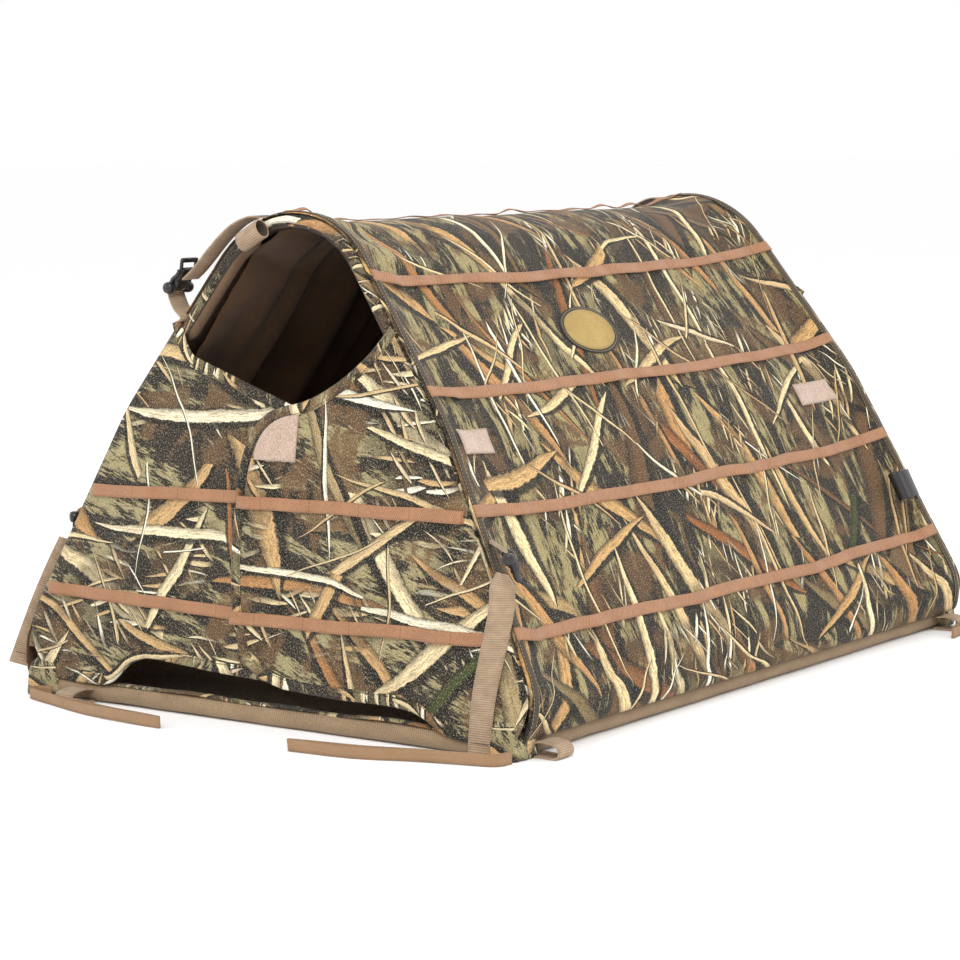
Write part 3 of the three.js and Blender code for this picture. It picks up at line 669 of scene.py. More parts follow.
def soft_light(name, place, target, size, power, color=(1, 1, 1)):
    data = bpy.data.lights.new(name, "AREA")
    data.size, data.energy, data.color = size, power, color
    obj = bpy.data.objects.new(name, data)
    obj.location = place
    obj.rotation_euler = (Vector(target) - Vector(place)).to_track_quat("-Z", "Y").to_euler()
    bpy.context.scene.collection.objects.link(obj)


def studio():
    look_from(azimuth=36.20, elevation=6.80, roll=-0.846, lens=106.8,
              place=(1.85397, -2.59852, 0.58338))
    soft_light("key", (1.4, -2.0, 2.6), (0, 0, 0.2), 1.4, 44)
    soft_light("fill", (-2.6, -1.8, 1.5), (0, 0, 0.2), 2.2, 16)
    soft_light("side", (2.8, 0.9, 1.4), (0, 0, 0.2), 1.8, 14)
    soft_light("back", (-0.8, 2.8, 2.2), (0, 0, 0.3), 2.0, 26)
    world = bpy.data.worlds.new("studio")
    world.use_nodes = True
    world.node_tree.nodes["Background"].inputs[0].default_value = (1, 1, 1, 1)
    world.node_tree.nodes["Background"].inputs[1].default_value = 1.0
    bpy.context.scene.world = world
    bpy.context.scene.view_settings.view_transform = "Standard"
    material, g = new_material("studio_floor")
    grain = g.noise(g.node("ShaderNodeTexCoord").outputs["Object"], 3.0)
    finish_material(g, g.mix(grain, rgb(253, 253, 253), rgb(255, 255, 255)), 0.9)
    mesh = bpy.data.meshes.new("studio_floor")
    size = 60.0
    corners = [(-size, -size, 0), (size, -size, 0), (size, size, 0), (-size, size, 0)]
    mesh.from_pydata(corners, [], [(0, 1, 2, 3)])
    put("studio_floor", mesh, material)


studio()


# ---- The shell: one cloth over both hoops ----
HEM_Z = 0.019
HEM_S = float(girth_at(HEM_Z))
SHELL_END_INSET = 0.0035


def flat_shell(rows, columns):
    s = np.linspace(HEM_S, -HEM_S, rows)
    x, z = section(s)
    t = np.linspace(0, 1, columns)
    y = end_y(1, z, SHELL_END_INSET)[:, None] * (2 * t - 1)[None]
    return np.stack([np.repeat(x[:, None], columns, 1), y, np.repeat(z[:, None], columns, 1)], 2)


def settle(grid, pinned, growth, frames, cap):
    """Lets the cloth, cut a little larger than its frame, hang and buckle, and says where it lies."""
    n, m = grid.shape[:2]
    mesh = bpy.data.meshes.new("settling")
    mesh.from_pydata(grid.reshape(-1, 3).tolist(), [], grid_faces(n, m))
    obj = put("settling", mesh)
    group = obj.vertex_groups.new(name="pinned")
    group.add(np.flatnonzero(pinned).tolist(), 1.0, "REPLACE")
    modifier = obj.modifiers.new("cloth", "CLOTH")
    cloth = modifier.settings
    cloth.quality, cloth.mass = 5, 0.25
    cloth.tension_stiffness = cloth.compression_stiffness = 40
    cloth.shear_stiffness, cloth.bending_stiffness = 15, 1.2
    cloth.tension_damping = cloth.compression_damping = 10
    cloth.vertex_group_mass, cloth.pin_stiffness = "pinned", 2.0
    cloth.shrink_min = -growth
    modifier.collision_settings.use_collision = False
    modifier.point_cache.frame_start, modifier.point_cache.frame_end = 1, frames
    scene = bpy.context.scene
    for frame_number in range(1, frames + 1):
        scene.frame_set(frame_number)
    settled = obj.evaluated_get(bpy.context.evaluated_depsgraph_get()).data
    out = np.zeros(len(settled.vertices) * 3)
    settled.vertices.foreach_get("co", out)
    scene.frame_set(1)
    bpy.data.objects.remove(obj)
    move = out.reshape(n, m, 3) - grid
    far = np.linalg.norm(move, axis=2, keepdims=True)
    return grid + move * (cap * np.tanh(far / cap) / np.maximum(far, 1e-9))


class Surface:
    """A settled cloth that other pieces are laid on, by s across the girth and t from front to rear."""

    def __init__(self, grid):
        self.grid = grid
        normal = np.cross(np.gradient(grid, axis=1), np.gradient(grid, axis=0))
        normal /= np.linalg.norm(normal, axis=2, keepdims=True)
        outward = grid - np.array([0, 0, 0.15])
        if (normal * outward).sum() < 0:
            normal = -normal
        self.normal = normal

    def sample(self, values, s, t):
        n, m = values.shape[:2]
        i = np.clip((HEM_S - np.asarray(s, float)) / (2 * HEM_S) * (n - 1), 0, n - 1.001)
        j = np.clip(np.asarray(t, float) * (m - 1), 0, m - 1.001)
        i0, j0 = i.astype(int), j.astype(int)
        a, b = (i - i0)[..., None], (j - j0)[..., None]
        top = values[i0, j0] * (1 - b) + values[i0, j0 + 1] * b
        low = values[i0 + 1, j0] * (1 - b) + values[i0 + 1, j0 + 1] * b
        return top * (1 - a) + low * a

    def at(self, s, t, lift=0.0):
        lift = np.asarray(lift, float)
        return self.sample(self.grid, s, t) + self.out(s, t) * lift[..., None]

    def out(self, s, t):
        n = self.sample(self.normal, s, t)
        return n / np.linalg.norm(n, axis=-1, keepdims=True)


def shell_surface():
    rows, columns = 121, 85
    grid = flat_shell(rows, columns)
    pinned = np.zeros((rows, columns))
    pinned[:, :2] = pinned[:, -2:] = 1.0
    pinned[:2] = pinned[-2:] = 1.0
    settled = settle(grid, pinned, growth=0.012, frames=26, cap=0.013)
    s = np.linspace(HEM_S, -HEM_S, rows)[:, None]
    t = np.linspace(0, 1, columns)[None]
    free = np.clip(np.minimum(t, 1 - t) * 9, 0, 1) * np.clip((HEM_S - np.abs(s)) * 12, 0, 1)
    ripple = noise2(s * 42, t * 34, 5) * 0.0009
    settled += Surface(settled).normal * (ripple * free)[..., None]
    return Surface(settled)


SHELL = shell_surface()


def with_shell(obj, *nodes):
    """A piece of the shell: it stays on the base."""
    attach(obj, "base")
    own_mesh(obj)
    if nodes:
        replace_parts(obj, *nodes)
    return obj


def build_shell():
    grid = SHELL.grid
    n, m = grid.shape[:2]
    s = np.linspace(HEM_S, -HEM_S, n)
    uv = np.stack(np.meshgrid(s, np.linspace(0, LENGTH, m), indexing="ij")[::-1], 2)
    shell = thicken(subdivide(grid_mesh("shell_cloth", grid, [SHELL_CAMO, LINING], uv=uv)),
                    CLOTH_THICKNESS, 0.0, inner=1)
    with_shell(shell, "side_panel_left", "side_panel_right", "roof_panel")


build_shell()


# ---- Stubble straps ----
TACK_PITCH = 0.062


def strap_bulge(distance, seed, most=0.0042):
    """How far a tacked strap stands off between its tacks."""
    rng = np.random.default_rng(seed)
    heights = most * rng.uniform(0.05, 1.0, 40) ** 1.6
    index = np.floor(distance / TACK_PITCH).astype(int)
    return heights[index] * np.sin(math.pi * (distance / TACK_PITCH - index)) ** 2


def lay_strap(name, node, s0, direction, seed, z, most=0.0042):
    """A strap from front to rear at a place on the girth; direction is the side that sags down."""
    length = LENGTH - 2 * LEAN * z
    distance = np.linspace(0.004, length - 0.004, 190)
    t = distance / length
    bulge = strap_bulge(distance, seed, most)
    sag = 0.005 * 4 * t * (1 - t) + 0.0014 * noise2(t * 34, 0 * t, seed) + 0.55 * bulge
    front_fold = 0.0058 * np.exp(-(((distance - 0.040) / 0.015) ** 2)) * (seed % 3 > 0)
    lift = 0.0014 + bulge + front_fold
    k = np.linspace(-STRAP_WIDTH / 2, STRAP_WIDTH / 2, 5)
    s = s0 + direction * (sag[:, None] + k[None] + 0.7 * front_fold[:, None])
    tilt = (k[None] / STRAP_WIDTH) * (noise2(t * 40, 0 * t, seed + 3) * 0.0010 + 0.5 * bulge)[:, None]
    rows = SHELL.at(s, np.repeat(t[:, None], 5, 1), lift[:, None] + tilt)
    strap = thicken(grid_mesh(name, rows, [STUBBLE], shift=(0.03 * seed, 0)), 0.0011, 0.0)
    with_shell(strap, node)


for side_name, side in SIDES:
    for row, z in enumerate(STRAP_HEIGHTS):
        name = f"{side_name}_{row + 1}"
        lay_strap("strap_" + name, "stubble_strap_" + name, side * float(girth_at(z)), side,
                  10 * row + (side > 0) + 1, z)
lay_strap("strap_ridge", "stubble_strap_ridge", -0.012, -0.3, 77, HEIGHT, 0.0065)


# ---- Hoop covers ----
def hoop_line(end, inset=HOOP_INSET, depth=HOOP_DEPTH, ends=(0.030, 0.030), count=170):
    """A line inside the end edge of the outline, from a height on the right to one on the left."""
    s = np.linspace(float(girth_at(ends[0])), -float(girth_at(ends[1])), count)
    x, z = section(s)
    dx, dz = np.gradient(x), np.gradient(z)
    length = np.hypot(dx, dz)
    x, z = x - dz / length * inset, z + dx / length * inset
    return np.stack([x, end_y(end, z, depth), z], 1)


ROLL_FROM_Z = 0.392
ROLL_POINTS = 44  # of the port's line, those nearest its left corner


def hoop_covers(end_name, end):
    body = end_name + "_hoop"
    line = hoop_line(end, inset=0.0092, ends=(0.050, 0.050))
    cover = grid_mesh(f"hoop_cover_{end_name}", tube_rows(line, 0.0070), [TRIM_CAMO], closed=True,
                      shift=(0.2 * end, 0.1))
    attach(cover, body)
    inner = hoop_line(end, inset=0.0165, depth=0.0105, ends=(ROLL_FROM_Z, ROLL_FROM_Z), count=120)
    part = inner[-ROLL_POINTS:]
    ends = np.minimum(np.arange(len(part)), np.arange(len(part))[::-1])
    radius = 0.0058 * np.sqrt(np.clip((ends + 0.3) / 3, 0, 1))
    roll = grid_mesh(f"port_roll_{end_name}", tube_rows(part, radius), [ROLL_CLOTH], closed=True)
    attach(roll, body)


for end_name, end in ENDS:
    hoop_covers(end_name, end)


# ---- End panels: two doors that lap at the middle, each sewn to its hoop leg ----
def port_z(x):
    """The port's lower edge: a curve on the right door and nearly straight on the left one."""
    x = np.asarray(x, float)
    curve = PORT_BOTTOM + PORT_CURVE * x**2
    return np.where(x > LAP_X, curve, PORT_BOTTOM + PORT_CURVE * LAP_X**2 + PORT_SLOPE * (LAP_X - x))


PORT_CORNER = (0.1375, 0.4035)
FREE_EDGE = ((0.034, 0.041), (0.004, 0.050), (-0.020, 0.070), (-0.034, 0.110), (-0.041, 0.163),
             (-0.040, 0.220), (-0.036, 0.262), (-0.025, 0.294), (-0.006, 0.313), (0.018, 0.3215))
RIGHT_HEM = ((0.034, 0.041), (0.10, 0.039), (0.170, 0.038), (0.200, 0.034), (0.222, 0.025),
             (0.240, 0.0175), (0.262, 0.0145), (0.296, 0.0165))
LEFT_FREE = ((0.020, 0.047), (0.022, 0.12), (0.024, 0.20), (0.022, 0.26), (0.020, 0.3217))
LEFT_HEM = ((0.020, 0.047), (-0.06, 0.049), (-0.14, 0.054), (-0.160, 0.052), (-0.176, 0.044),
            (-0.188, 0.032), (-0.205, 0.0225), (-0.248, 0.0200), (-0.280, 0.0225))
# The door's rounded lower outer corner, from the hem up to where it joins the outline.
RIGHT_CORNER = ((0.296, 0.0165), (0.3160, 0.0185), (0.3270, 0.0330), (0.3310, 0.0600))
LEFT_CORNER = ((-0.280, 0.0225), (-0.300, 0.0330), (-0.3140, 0.0500), (-0.3215, 0.0700))
CORNER_TOP = 0.095


def door_curves(side, count=(64, 84)):
    """Its hem from the free edge out, its free edge up, its port edge out, and its hoop edge up."""
    nu, nv = count
    hem = smooth_path(RIGHT_HEM if side > 0 else LEFT_HEM, nu)
    free = smooth_path(FREE_EDGE if side > 0 else LEFT_FREE, nv)
    x = np.linspace(free[-1][0], side * PORT_CORNER[0], nu)
    rise = np.clip((np.abs(x) - 0.112) / (PORT_CORNER[0] - 0.112), 0, 1) ** 2
    port = np.stack([x, port_z(x) + rise * (PORT_CORNER[1] - port_z(side * PORT_CORNER[0]))], 1)
    port[0], port[-1] = free[-1], (side * PORT_CORNER[0], PORT_CORNER[1])
    s = np.linspace(float(girth_at(CORNER_TOP)), float(girth_at(PORT_CORNER[1])), 40)
    edge_x, edge_z = section(s)
    edge = np.stack([side * (edge_x - 0.0015), edge_z], 1)
    edge[-1] = port[-1]
    corner = RIGHT_CORNER if side > 0 else LEFT_CORNER
    hoop = smooth_path(np.concatenate([corner, edge]), nv)
    return hem, free, port, hoop


def patch_between(hem, free, port, hoop):
    """A Coons patch: a smooth grid of points between four edges."""
    u = np.linspace(0, 1, len(hem))[:, None, None]
    v = np.linspace(0, 1, len(free))[None, :, None]
    ruled = (1 - v) * hem[:, None] + v * port[:, None] + (1 - u) * free[None] + u * hoop[None]
    low = (1 - u) * (1 - v) * hem[0] + u * (1 - v) * hem[-1]
    return ruled - (low + (1 - u) * v * port[0] + u * v * port[-1])


def door_lift(x, z, side, end):
    """How far a door's cloth lies outside the end plane."""
    x, z = np.asarray(x, float), np.asarray(z, float)
    room = np.clip((half_width(z) - np.abs(x)) * 16, 0, 1)
    seed = 20 + side + 3 * end
    ripple = noise2(x * 26, z * 17, seed) * 0.0022 + noise2(x * 70, z * 48, seed + 7) * 0.0005
    lap = np.clip(1 - (x + 0.04) / 0.09, 0, 1) if side > 0 else 0.0
    base = 0.0030 + 0.0042 * lap if side > 0 else 0.0006
    return base * room + ripple * room ** 1.5 + 0.0004


def on_end(points, side, end, lift=0.0):
    """Places (x, z) points on a door's cloth."""
    points = np.asarray(points, float)
    x, z = points[..., 0], points[..., 1]
    y = end_y(end, z, 0.0) + end * (door_lift(x, z, side, end) + lift)
    return np.stack([x, y, z], -1)


def hang(obj, side_name, side, end_name, end, *nodes):
    """A piece of a door, with its placing baked into its mesh."""
    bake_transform(obj)
    if nodes:
        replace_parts(obj, *nodes)
    return obj


def bound_edge(name, path, inside, side, end, look, width=0.011, lift=0.0011):
    """A folded binding tape over a cloth edge: its front, the fold and its back."""
    path = np.asarray(path, float)
    into = beside(path) * inside
    wave = 1 + 0.05 * noise2(np.arange(len(path)) * 0.35, 0.0, len(name))
    rows = []
    for reach, rise in ((1.0, 0.9), (0.55, 1.15), (0.08, 1.0), (-0.07, 0.0), (0.08, -1.0), (0.9, -0.9)):
        breadth = width * reach * (wave[:, None] if reach > 0.5 else 1.0)
        rows.append(on_end(path + into * breadth, side, end, lift * rise))
    return grid_mesh(name, np.stack(rows, 1), [look], shift=(0.4 * len(name), 0.2))


def columns_between(x, low, top, count):
    """Flat points in columns over each x, from a low line to a top one."""
    low = np.broadcast_to(low, x.shape)[:, None]
    height = low + (top[:, None] - low) * np.linspace(0, 1, count)[None]
    return np.stack([np.repeat(x[:, None], count, 1), height], 2)


def build_door(side_name, side, end_name, end):
    place = f"{end_name}_{side_name}"
    given = (side_name, side, end_name, end)
    hem, free, port, hoop = door_curves(side)
    flat = patch_between(hem, free, port, hoop)
    rows = on_end(flat, side, end)
    if side * end < 0:
        rows, flat = rows[::-1], flat[::-1]
    uv = flat + (0.0, 0.9 * end)
    cloth = thicken(grid_mesh(f"door_cloth_{place}", rows, [END_CAMO, LINING], uv=uv),
                    CLOTH_THICKNESS, 0.0, inner=1)
    hang(cloth, *given, "door_" + place, "seam_strip_" + place)
    for name, path, inside in (("hem", hem, 1), ("port", port, -1), ("free", free, -1)):
        if name == "free" and side < 0:
            continue
        tape_piece = bound_edge(f"{name}_binding_{place}", path, inside * side, side, end, TRIM_CAMO)
        hang(tape_piece, *given)
        into = beside(path) * inside * side
        seam = on_end(path + into * SEAM_INSET, side, end, 0.0012)
        hang(stitches(f"{name}_stitches_{place}", seam, (0, end, 0), DARK_THREAD), *given)


SEAM_INSET = 0.0092  # of the stitches, from the bound edge


# The rows of stubble strap on the doors: height where it meets the hoop, and where it meets the middle.
DOOR_STRAPS = ((0.2245, 0.2235, 0.222), (0.112, 0.106, 0.116))


def door_strap(side_name, side, end_name, end, row):
    right_end, middle, left_end = DOOR_STRAPS[row]
    outer_z = right_end if side > 0 else left_end
    inner_z = middle if side > 0 else middle + 0.004
    outer_x = side * (float(half_width(outer_z)) - 0.007)
    inner_x = -0.037 if side > 0 else -0.030
    t = np.linspace(0, 1, 70)
    x = inner_x + (outer_x - inner_x) * t
    seed = 40 + row + 2 * side + 5 * end
    z = inner_z + (outer_z - inner_z) * t + 0.0008 * noise2(t * 14, 0 * t, seed)
    lift = 0.0016 + strap_bulge(np.abs(x - inner_x) + 0.02, seed) * 0.7
    k = np.linspace(-STRAP_WIDTH / 2, STRAP_WIDTH / 2, 5)
    rows = [on_end(np.stack([x, z + step], 1), side, end, lift) for step in k]
    strap = grid_mesh(f"door_strap_{end_name}_{side_name}_{row + 1}", np.stack(rows, 1), [STUBBLE])
    hang(thicken(strap, 0.0011, 0.0), side_name, side, end_name, end)


def quarter_patch(end_name, end):
    """The loop patch in the right door's upper inner corner."""
    x = np.linspace(-0.019, 0.035, 22)
    low, high = 0.2665, 0.0470
    top = low + high * np.sqrt(np.clip(1 - ((0.035 - x) / 0.0545) ** 2, 0, 1))
    flat = columns_between(x, low, top, 14)
    patch = grid_mesh("loop_patch_" + end_name, on_end(flat, 1, end, 0.0016), [PILE])
    thicken(patch, 0.0016, 0.0)
    hang(patch, "right", 1, end_name, end)


for end_name, end in ENDS:
    for side_name, side in SIDES:
        build_door(side_name, side, end_name, end)
        for row in range(2):
            door_strap(side_name, side, end_name, end, row)
    quarter_patch(end_name, end)


def rear_gable():
    """The cloth that closes the port at the rear."""
    x = np.linspace(-PORT_CORNER[0], PORT_CORNER[0], 44)
    radius = CROWN_RADIUS - 0.006
    center = HEIGHT - CROWN_RADIUS
    top = np.where(np.abs(x) < radius, center + np.sqrt(np.clip(radius**2 - x**2, 0, None)), center)
    low = port_z(x) - 0.010
    top = np.maximum(top, low + 0.004)
    flat = columns_between(x, low, top, 24)
    bow = 0.002 * noise2(flat[..., 0] * 30, flat[..., 1] * 25, 77)
    y = end_y(1, flat[..., 1], 0.0035) + bow * 0.6
    rows = np.stack([flat[..., 0], y, flat[..., 1]], 2)
    panel = thicken(grid_mesh("gable_cloth", rows, [END_CAMO, LINING], uv=flat + (0.5, 0.2)),
                    CLOTH_THICKNESS, 0.0, inner=1)
    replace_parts(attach(panel, "rear_hoop"), "rear_gable_panel")


rear_gable()


# ---- Patches on the shell ----
def oval(u):
    return np.sqrt(np.clip(1 - u**2, 0.0004, 1))


def shell_t(y, z):
    return (np.asarray(y) / end_y(1, z, SHELL_END_INSET) + 1) / 2


def shell_patch(name, corner_low, corner_high, look, shape=None, lift=0.0014, thickness=0.0014):
    """A patch between two places (y, z) on the right side; shape gives its half height across it."""
    (y0, z0), (y1, z1) = corner_low, corner_high
    u = np.linspace(0, 1, 30)
    v = np.linspace(0, 1, 16)
    s0, s1 = float(girth_at(z0)), float(girth_at(z1))
    t = shell_t(y0 + (y1 - y0) * u, (z0 + z1) / 2)
    half = np.ones_like(u) if shape is None else shape(2 * u - 1)
    s = (s0 + s1) / 2 + (s0 - s1) / 2 * half[:, None] * (1 - 2 * v)[None]
    rows = SHELL.at(s, np.repeat(t[:, None], len(v), 1), lift)
    patch = thicken(grid_mesh(name, rows, [look]), thickness, 0.0)
    with_shell(patch)
    edge = [(s[i, 0], t[i]) for i in range(30)] + [(s[29, j], t[29]) for j in range(16)]
    edge += [(s[i, 15], t[i]) for i in range(29, -1, -1)] + [(s[0, j], t[0]) for j in range(15, -1, -1)]
    edge = np.array(edge)
    middle = np.array([(s0 + s1) / 2, t.mean()])
    inset = middle + (edge - middle) * 0.93
    path = SHELL.at(inset[:, 0], inset[:, 1], lift + thickness / 2)
    out = SHELL.out(inset[:, 0], inset[:, 1])
    with_shell(stitches(name + "_stitches", path, out, THREAD, pitch=0.003, length=0.002))


shell_patch("side_patch_front", (-0.386, 0.282), (-0.328, 0.306), PILE)
shell_patch("side_patch_rear", (0.278, 0.279), (0.352, 0.303), PILE)
for name, low, high, look, lift in (("rim", (-0.106, 0.3615), (-0.006, 0.4105), BADGE_EDGE, 0.0011),
                                    ("face", (-0.099, 0.365), (-0.013, 0.407), BADGE, 0.0018)):
    shell_patch("badge_" + name, low, high, look, oval, lift, 0.0012)


# ---- Base: the sleeves round the tubes, the floor and the sill ----
def base_sleeve(name, start, stop):
    """A cloth sleeve, a little slack round its tube."""
    start, stop = Vector(start), Vector(stop)
    count = 120
    path = np.array([start.lerp(stop, i / (count - 1)) for i in range(count)])
    rows = tube_rows(path, 0.0104, 22, (0, 0, 1))
    at = np.arange(count)[:, None] * (stop - start).length / count
    a = np.linspace(0, 2 * math.pi, 22, endpoint=False)[None]
    swell = 1 + 0.05 * noise2(at * 60, a * 1.0, len(name)) - 0.04
    rows = path[:, None] + (rows - path[:, None]) * swell[..., None]
    rows[..., 2] = np.maximum(rows[..., 2], 0.0004)
    sleeve = grid_mesh("sleeve_cloth_" + name, rows, [TAN_CLOTH], closed=True)
    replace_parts(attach(sleeve, "base"), "base_sleeve_" + name)


TUBE_Z = 0.0105
REACH_X, REACH_Y = BASE_X - 0.004, BASE_Y - 0.004
for end_name, end in ENDS:
    base_sleeve(end_name, (-REACH_X, end * BASE_Y, TUBE_Z), (REACH_X, end * BASE_Y, TUBE_Z))
for side_name, side in SIDES:
    base_sleeve(side_name, (side * BASE_X, -REACH_Y, TUBE_Z), (side * BASE_X, REACH_Y, TUBE_Z))


def floor_cloth():
    """The floor hangs between the sleeves: flat on the ground, and up on to the tubes at its edges."""
    x = np.linspace(-BASE_X + 0.002, BASE_X - 0.002, 90)
    y = np.linspace(-BASE_Y + 0.002, BASE_Y - 0.002, 120)
    gx, gy = np.meshgrid(x, y, indexing="ij")
    edge = np.minimum(BASE_X - np.abs(gx), BASE_Y - np.abs(gy))
    rise = 0.0195 * np.clip(1 - edge / 0.042, 0, 1) ** 1.6
    wave = 0.0010 * (1 + noise2(gx * 30, gy * 26, 9)) * np.clip(edge * 12, 0, 1)
    rows = np.stack([gx, gy, 0.0016 + rise + np.clip(wave, 0, None)], 2)
    floor = thicken(grid_mesh("floor_cloth", rows, [TAN_CLOTH]), 0.0008, 1.0)
    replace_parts(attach(floor, "base"), "floor_panel")


floor_cloth()


def sill_trim(end_name, end):
    """The camo binding that caps the sill between the ends of the slot."""
    x = np.linspace(-0.205, 0.238, 110)
    rows = []
    dip = 0.0009 * noise2(x * 55, 0 * x, 31 + end)
    for angle, reach in ((140, 0.0), (118, 0.3), (96, 0.6), (76, 0.8), (58, 1.0)):
        a = math.radians(angle)
        r = 0.0116 + dip * reach
        rows.append(np.stack([x, end * (BASE_Y + r * math.cos(a)), TUBE_Z + r * math.sin(a) + dip], 1))
    trim = grid_mesh("sill_trim_" + end_name, np.stack(rows, 1), [TRIM_CAMO], shift=(0.6, 0.4))
    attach(thicken(trim, 0.0008, 0.0), "base")


for end_name, end in ENDS:
    sill_trim(end_name, end)


def corner_boot(side_name, side, end_name, end):
    """A gathered camo boot over the corner bracket, open where the hoop leg comes in."""
    low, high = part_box(f"corner_bracket_{end_name}_{side_name}")
    middle, half = (low + high) / 2, (high - low) / 2
    turns, levels = 64, 14
    a = np.linspace(0, 2 * math.pi, turns, endpoint=False)[None]
    v = np.linspace(0, 1, levels)[:, None]
    square = 7 - 3.5 * v
    corner = (np.abs(np.cos(a)) ** square + np.abs(np.sin(a)) ** square) ** (-1 / square)
    pleat = 0.0011 * noise2(a * 7, v * 3, 60 + side + 2 * end) + 0.0006 * np.sin(a * 17 + 5 * v)
    reach = 1.03 - 0.07 * v - 0.34 * v ** 6
    x = middle.x + (half.x + 0.0022 + pleat) * corner * np.cos(a) * reach
    y = middle.y + (half.y + 0.0022 + pleat) * corner * np.sin(a) * reach
    z = 0.0006 + (2 * half.z + 0.0022) * (v ** 0.8) + 0.0008 * noise2(a * 3, v, 8) * v + 0 * a
    rows = np.stack([x, y, z], -1)[:, ::-1]
    name = f"corner_boot_{end_name}_{side_name}"
    boot = grid_mesh(name, rows, [TRIM_CAMO], closed=True, shift=(0.3, 0.1))
    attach(subdivide(thicken(boot, 0.0009, 0.0)), "base")


for corner in CORNERS:
    corner_boot(*corner)


def lining(side_name, side):
    """The brown lining that hangs inside the shell in soft upright folds."""
    s = np.linspace(0.03, HEM_S - 0.05, 80)
    t = np.linspace(0.035, 0.965, 150)
    gs, gt = np.meshgrid(s, t, indexing="ij")
    slack = np.sin(math.pi * (gs - s[0]) / np.ptp(s)) ** 0.5
    folds = noise2(gt * 52, gs * 5.0, 90 + side) + 0.5 * noise2(gt * 120, gs * 14, 95 + side)
    lift = -0.0060 - slack * (0.0120 + 0.0085 * np.clip(folds, -1.3, 1.8))
    rows = SHELL.at(side * gs, gt, lift)
    cloth = thicken(grid_mesh("lining_" + side_name, rows, [LINING]), 0.0006, 0.0)
    with_shell(cloth)


def hem_facing(side_name, side):
    """The strip that joins the shell's hem to the sleeve beside it."""
    y = np.linspace(0.040 - BASE_Y, BASE_Y - 0.040, 60)
    outer, inner = float(half_width(HEM_Z, 0.0006)), BASE_X + 0.003
    rows = []
    for share in np.linspace(0, 1, 5):
        x = np.full_like(y, side * (outer + (inner - outer) * share))
        z = HEM_Z + 0.0016 * share - 0.0030 * math.sin(math.pi * share)
        rows.append(np.stack([x, y, z + 0.0004 * noise2(y * 40, 0 * y, 12 + side)], 1))
    strip = thicken(grid_mesh("hem_facing_" + side_name, np.stack(rows, 1), [LINING]), 0.0006, 0.0)
    with_shell(strip)


for side_name, side in SIDES:
    lining(side_name, side)
    hem_facing(side_name, side)


# ---- The taped seams where the shell meets the hoops ----
def hoop_seams(end_name, end):
    s = np.linspace(HEM_S - 0.012, 0.012 - HEM_S, 260)
    z = section(s)[1]
    length = 2 * end_y(1, z, SHELL_END_INSET)

    def place(distance):
        t = distance / length
        return 1 - t if end > 0 else t

    k = np.linspace(0.0045, 0.0135, 4)
    rows = np.stack([SHELL.at(s, place(d), 0.0010) for d in k], 1)
    strip = thicken(grid_mesh("seam_tape_" + end_name, rows, [SEAM_TAPE]), 0.0009, 0.0)
    with_shell(strip)
    for number, d in enumerate((0.0050, 0.0130)):
        path, out = SHELL.at(s, place(d), 0.0014), SHELL.out(s, place(d))
        with_shell(stitches(f"seam_stitches_{end_name}_{number + 1}", path, out, THREAD))


for end_name, end in ENDS:
    hoop_seams(end_name, end)


# ---- Buckles ----
class Parts:
    """Closed solid pieces gathered into one mesh."""

    def __init__(self):
        self.verts, self.faces = [], []

    def rail(self, centers, across, width, normal, thickness, power=0.5, sides=16):
        """A bar with a rounded flat section along a line, with rounded ends."""
        centers = np.asarray(centers, float)
        across = np.broadcast_to(across, centers.shape)
        normal = np.broadcast_to(normal, centers.shape)
        a = np.linspace(0, 2 * math.pi, sides, endpoint=False)
        x = np.sign(np.cos(a)) * np.abs(np.cos(a)) ** power / 2
        y = np.sign(np.sin(a)) * np.abs(np.sin(a)) ** power / 2
        first, last = unit(*(centers[0] - centers[1])), unit(*(centers[-1] - centers[-2]))
        reach = 0.28 * thickness
        bevel = ((1.0, 0.62), (0.7, 0.88))
        rings = [(centers[0] + first * reach * push, 0, scale) for push, scale in bevel]
        rings += [(c, i, 1.0) for i, c in enumerate(centers)]
        rings += [(centers[-1] + last * reach * push, -1, scale) for push, scale in bevel[::-1]]
        base = len(self.verts)
        for center, i, scale in rings:
            w = width - (1 - scale) * thickness
            for p, q in zip(x, y):
                self.verts.append(center + across[i] * (p * w) + normal[i] * (q * thickness * scale))
        self.faces += bar_faces(base, len(rings), sides)

    def build(self, name, look):
        mesh = bpy.data.meshes.new(name)
        mesh.from_pydata([list(v) for v in self.verts], [], self.faces)
        mesh.polygons.foreach_set("use_smooth", [True] * len(mesh.polygons))
        tool = bmesh.new()
        tool.from_mesh(mesh)
        bmesh.ops.recalc_face_normals(tool, faces=tool.faces)
        tool.to_mesh(mesh)
        tool.free()
        return put(name, mesh, look)


# The buckle's side view: distance from its bar towards the lever, and how far it stands out.
BUCKLE_SIDE = ((0.0, 0.0), (-0.006, 0.0016), (-0.011, 0.0022), (-0.016, 0.0008),
               (-0.021, 0.0004), (-0.026, 0.0030), (-0.031, 0.0062), (-0.034, 0.0070))


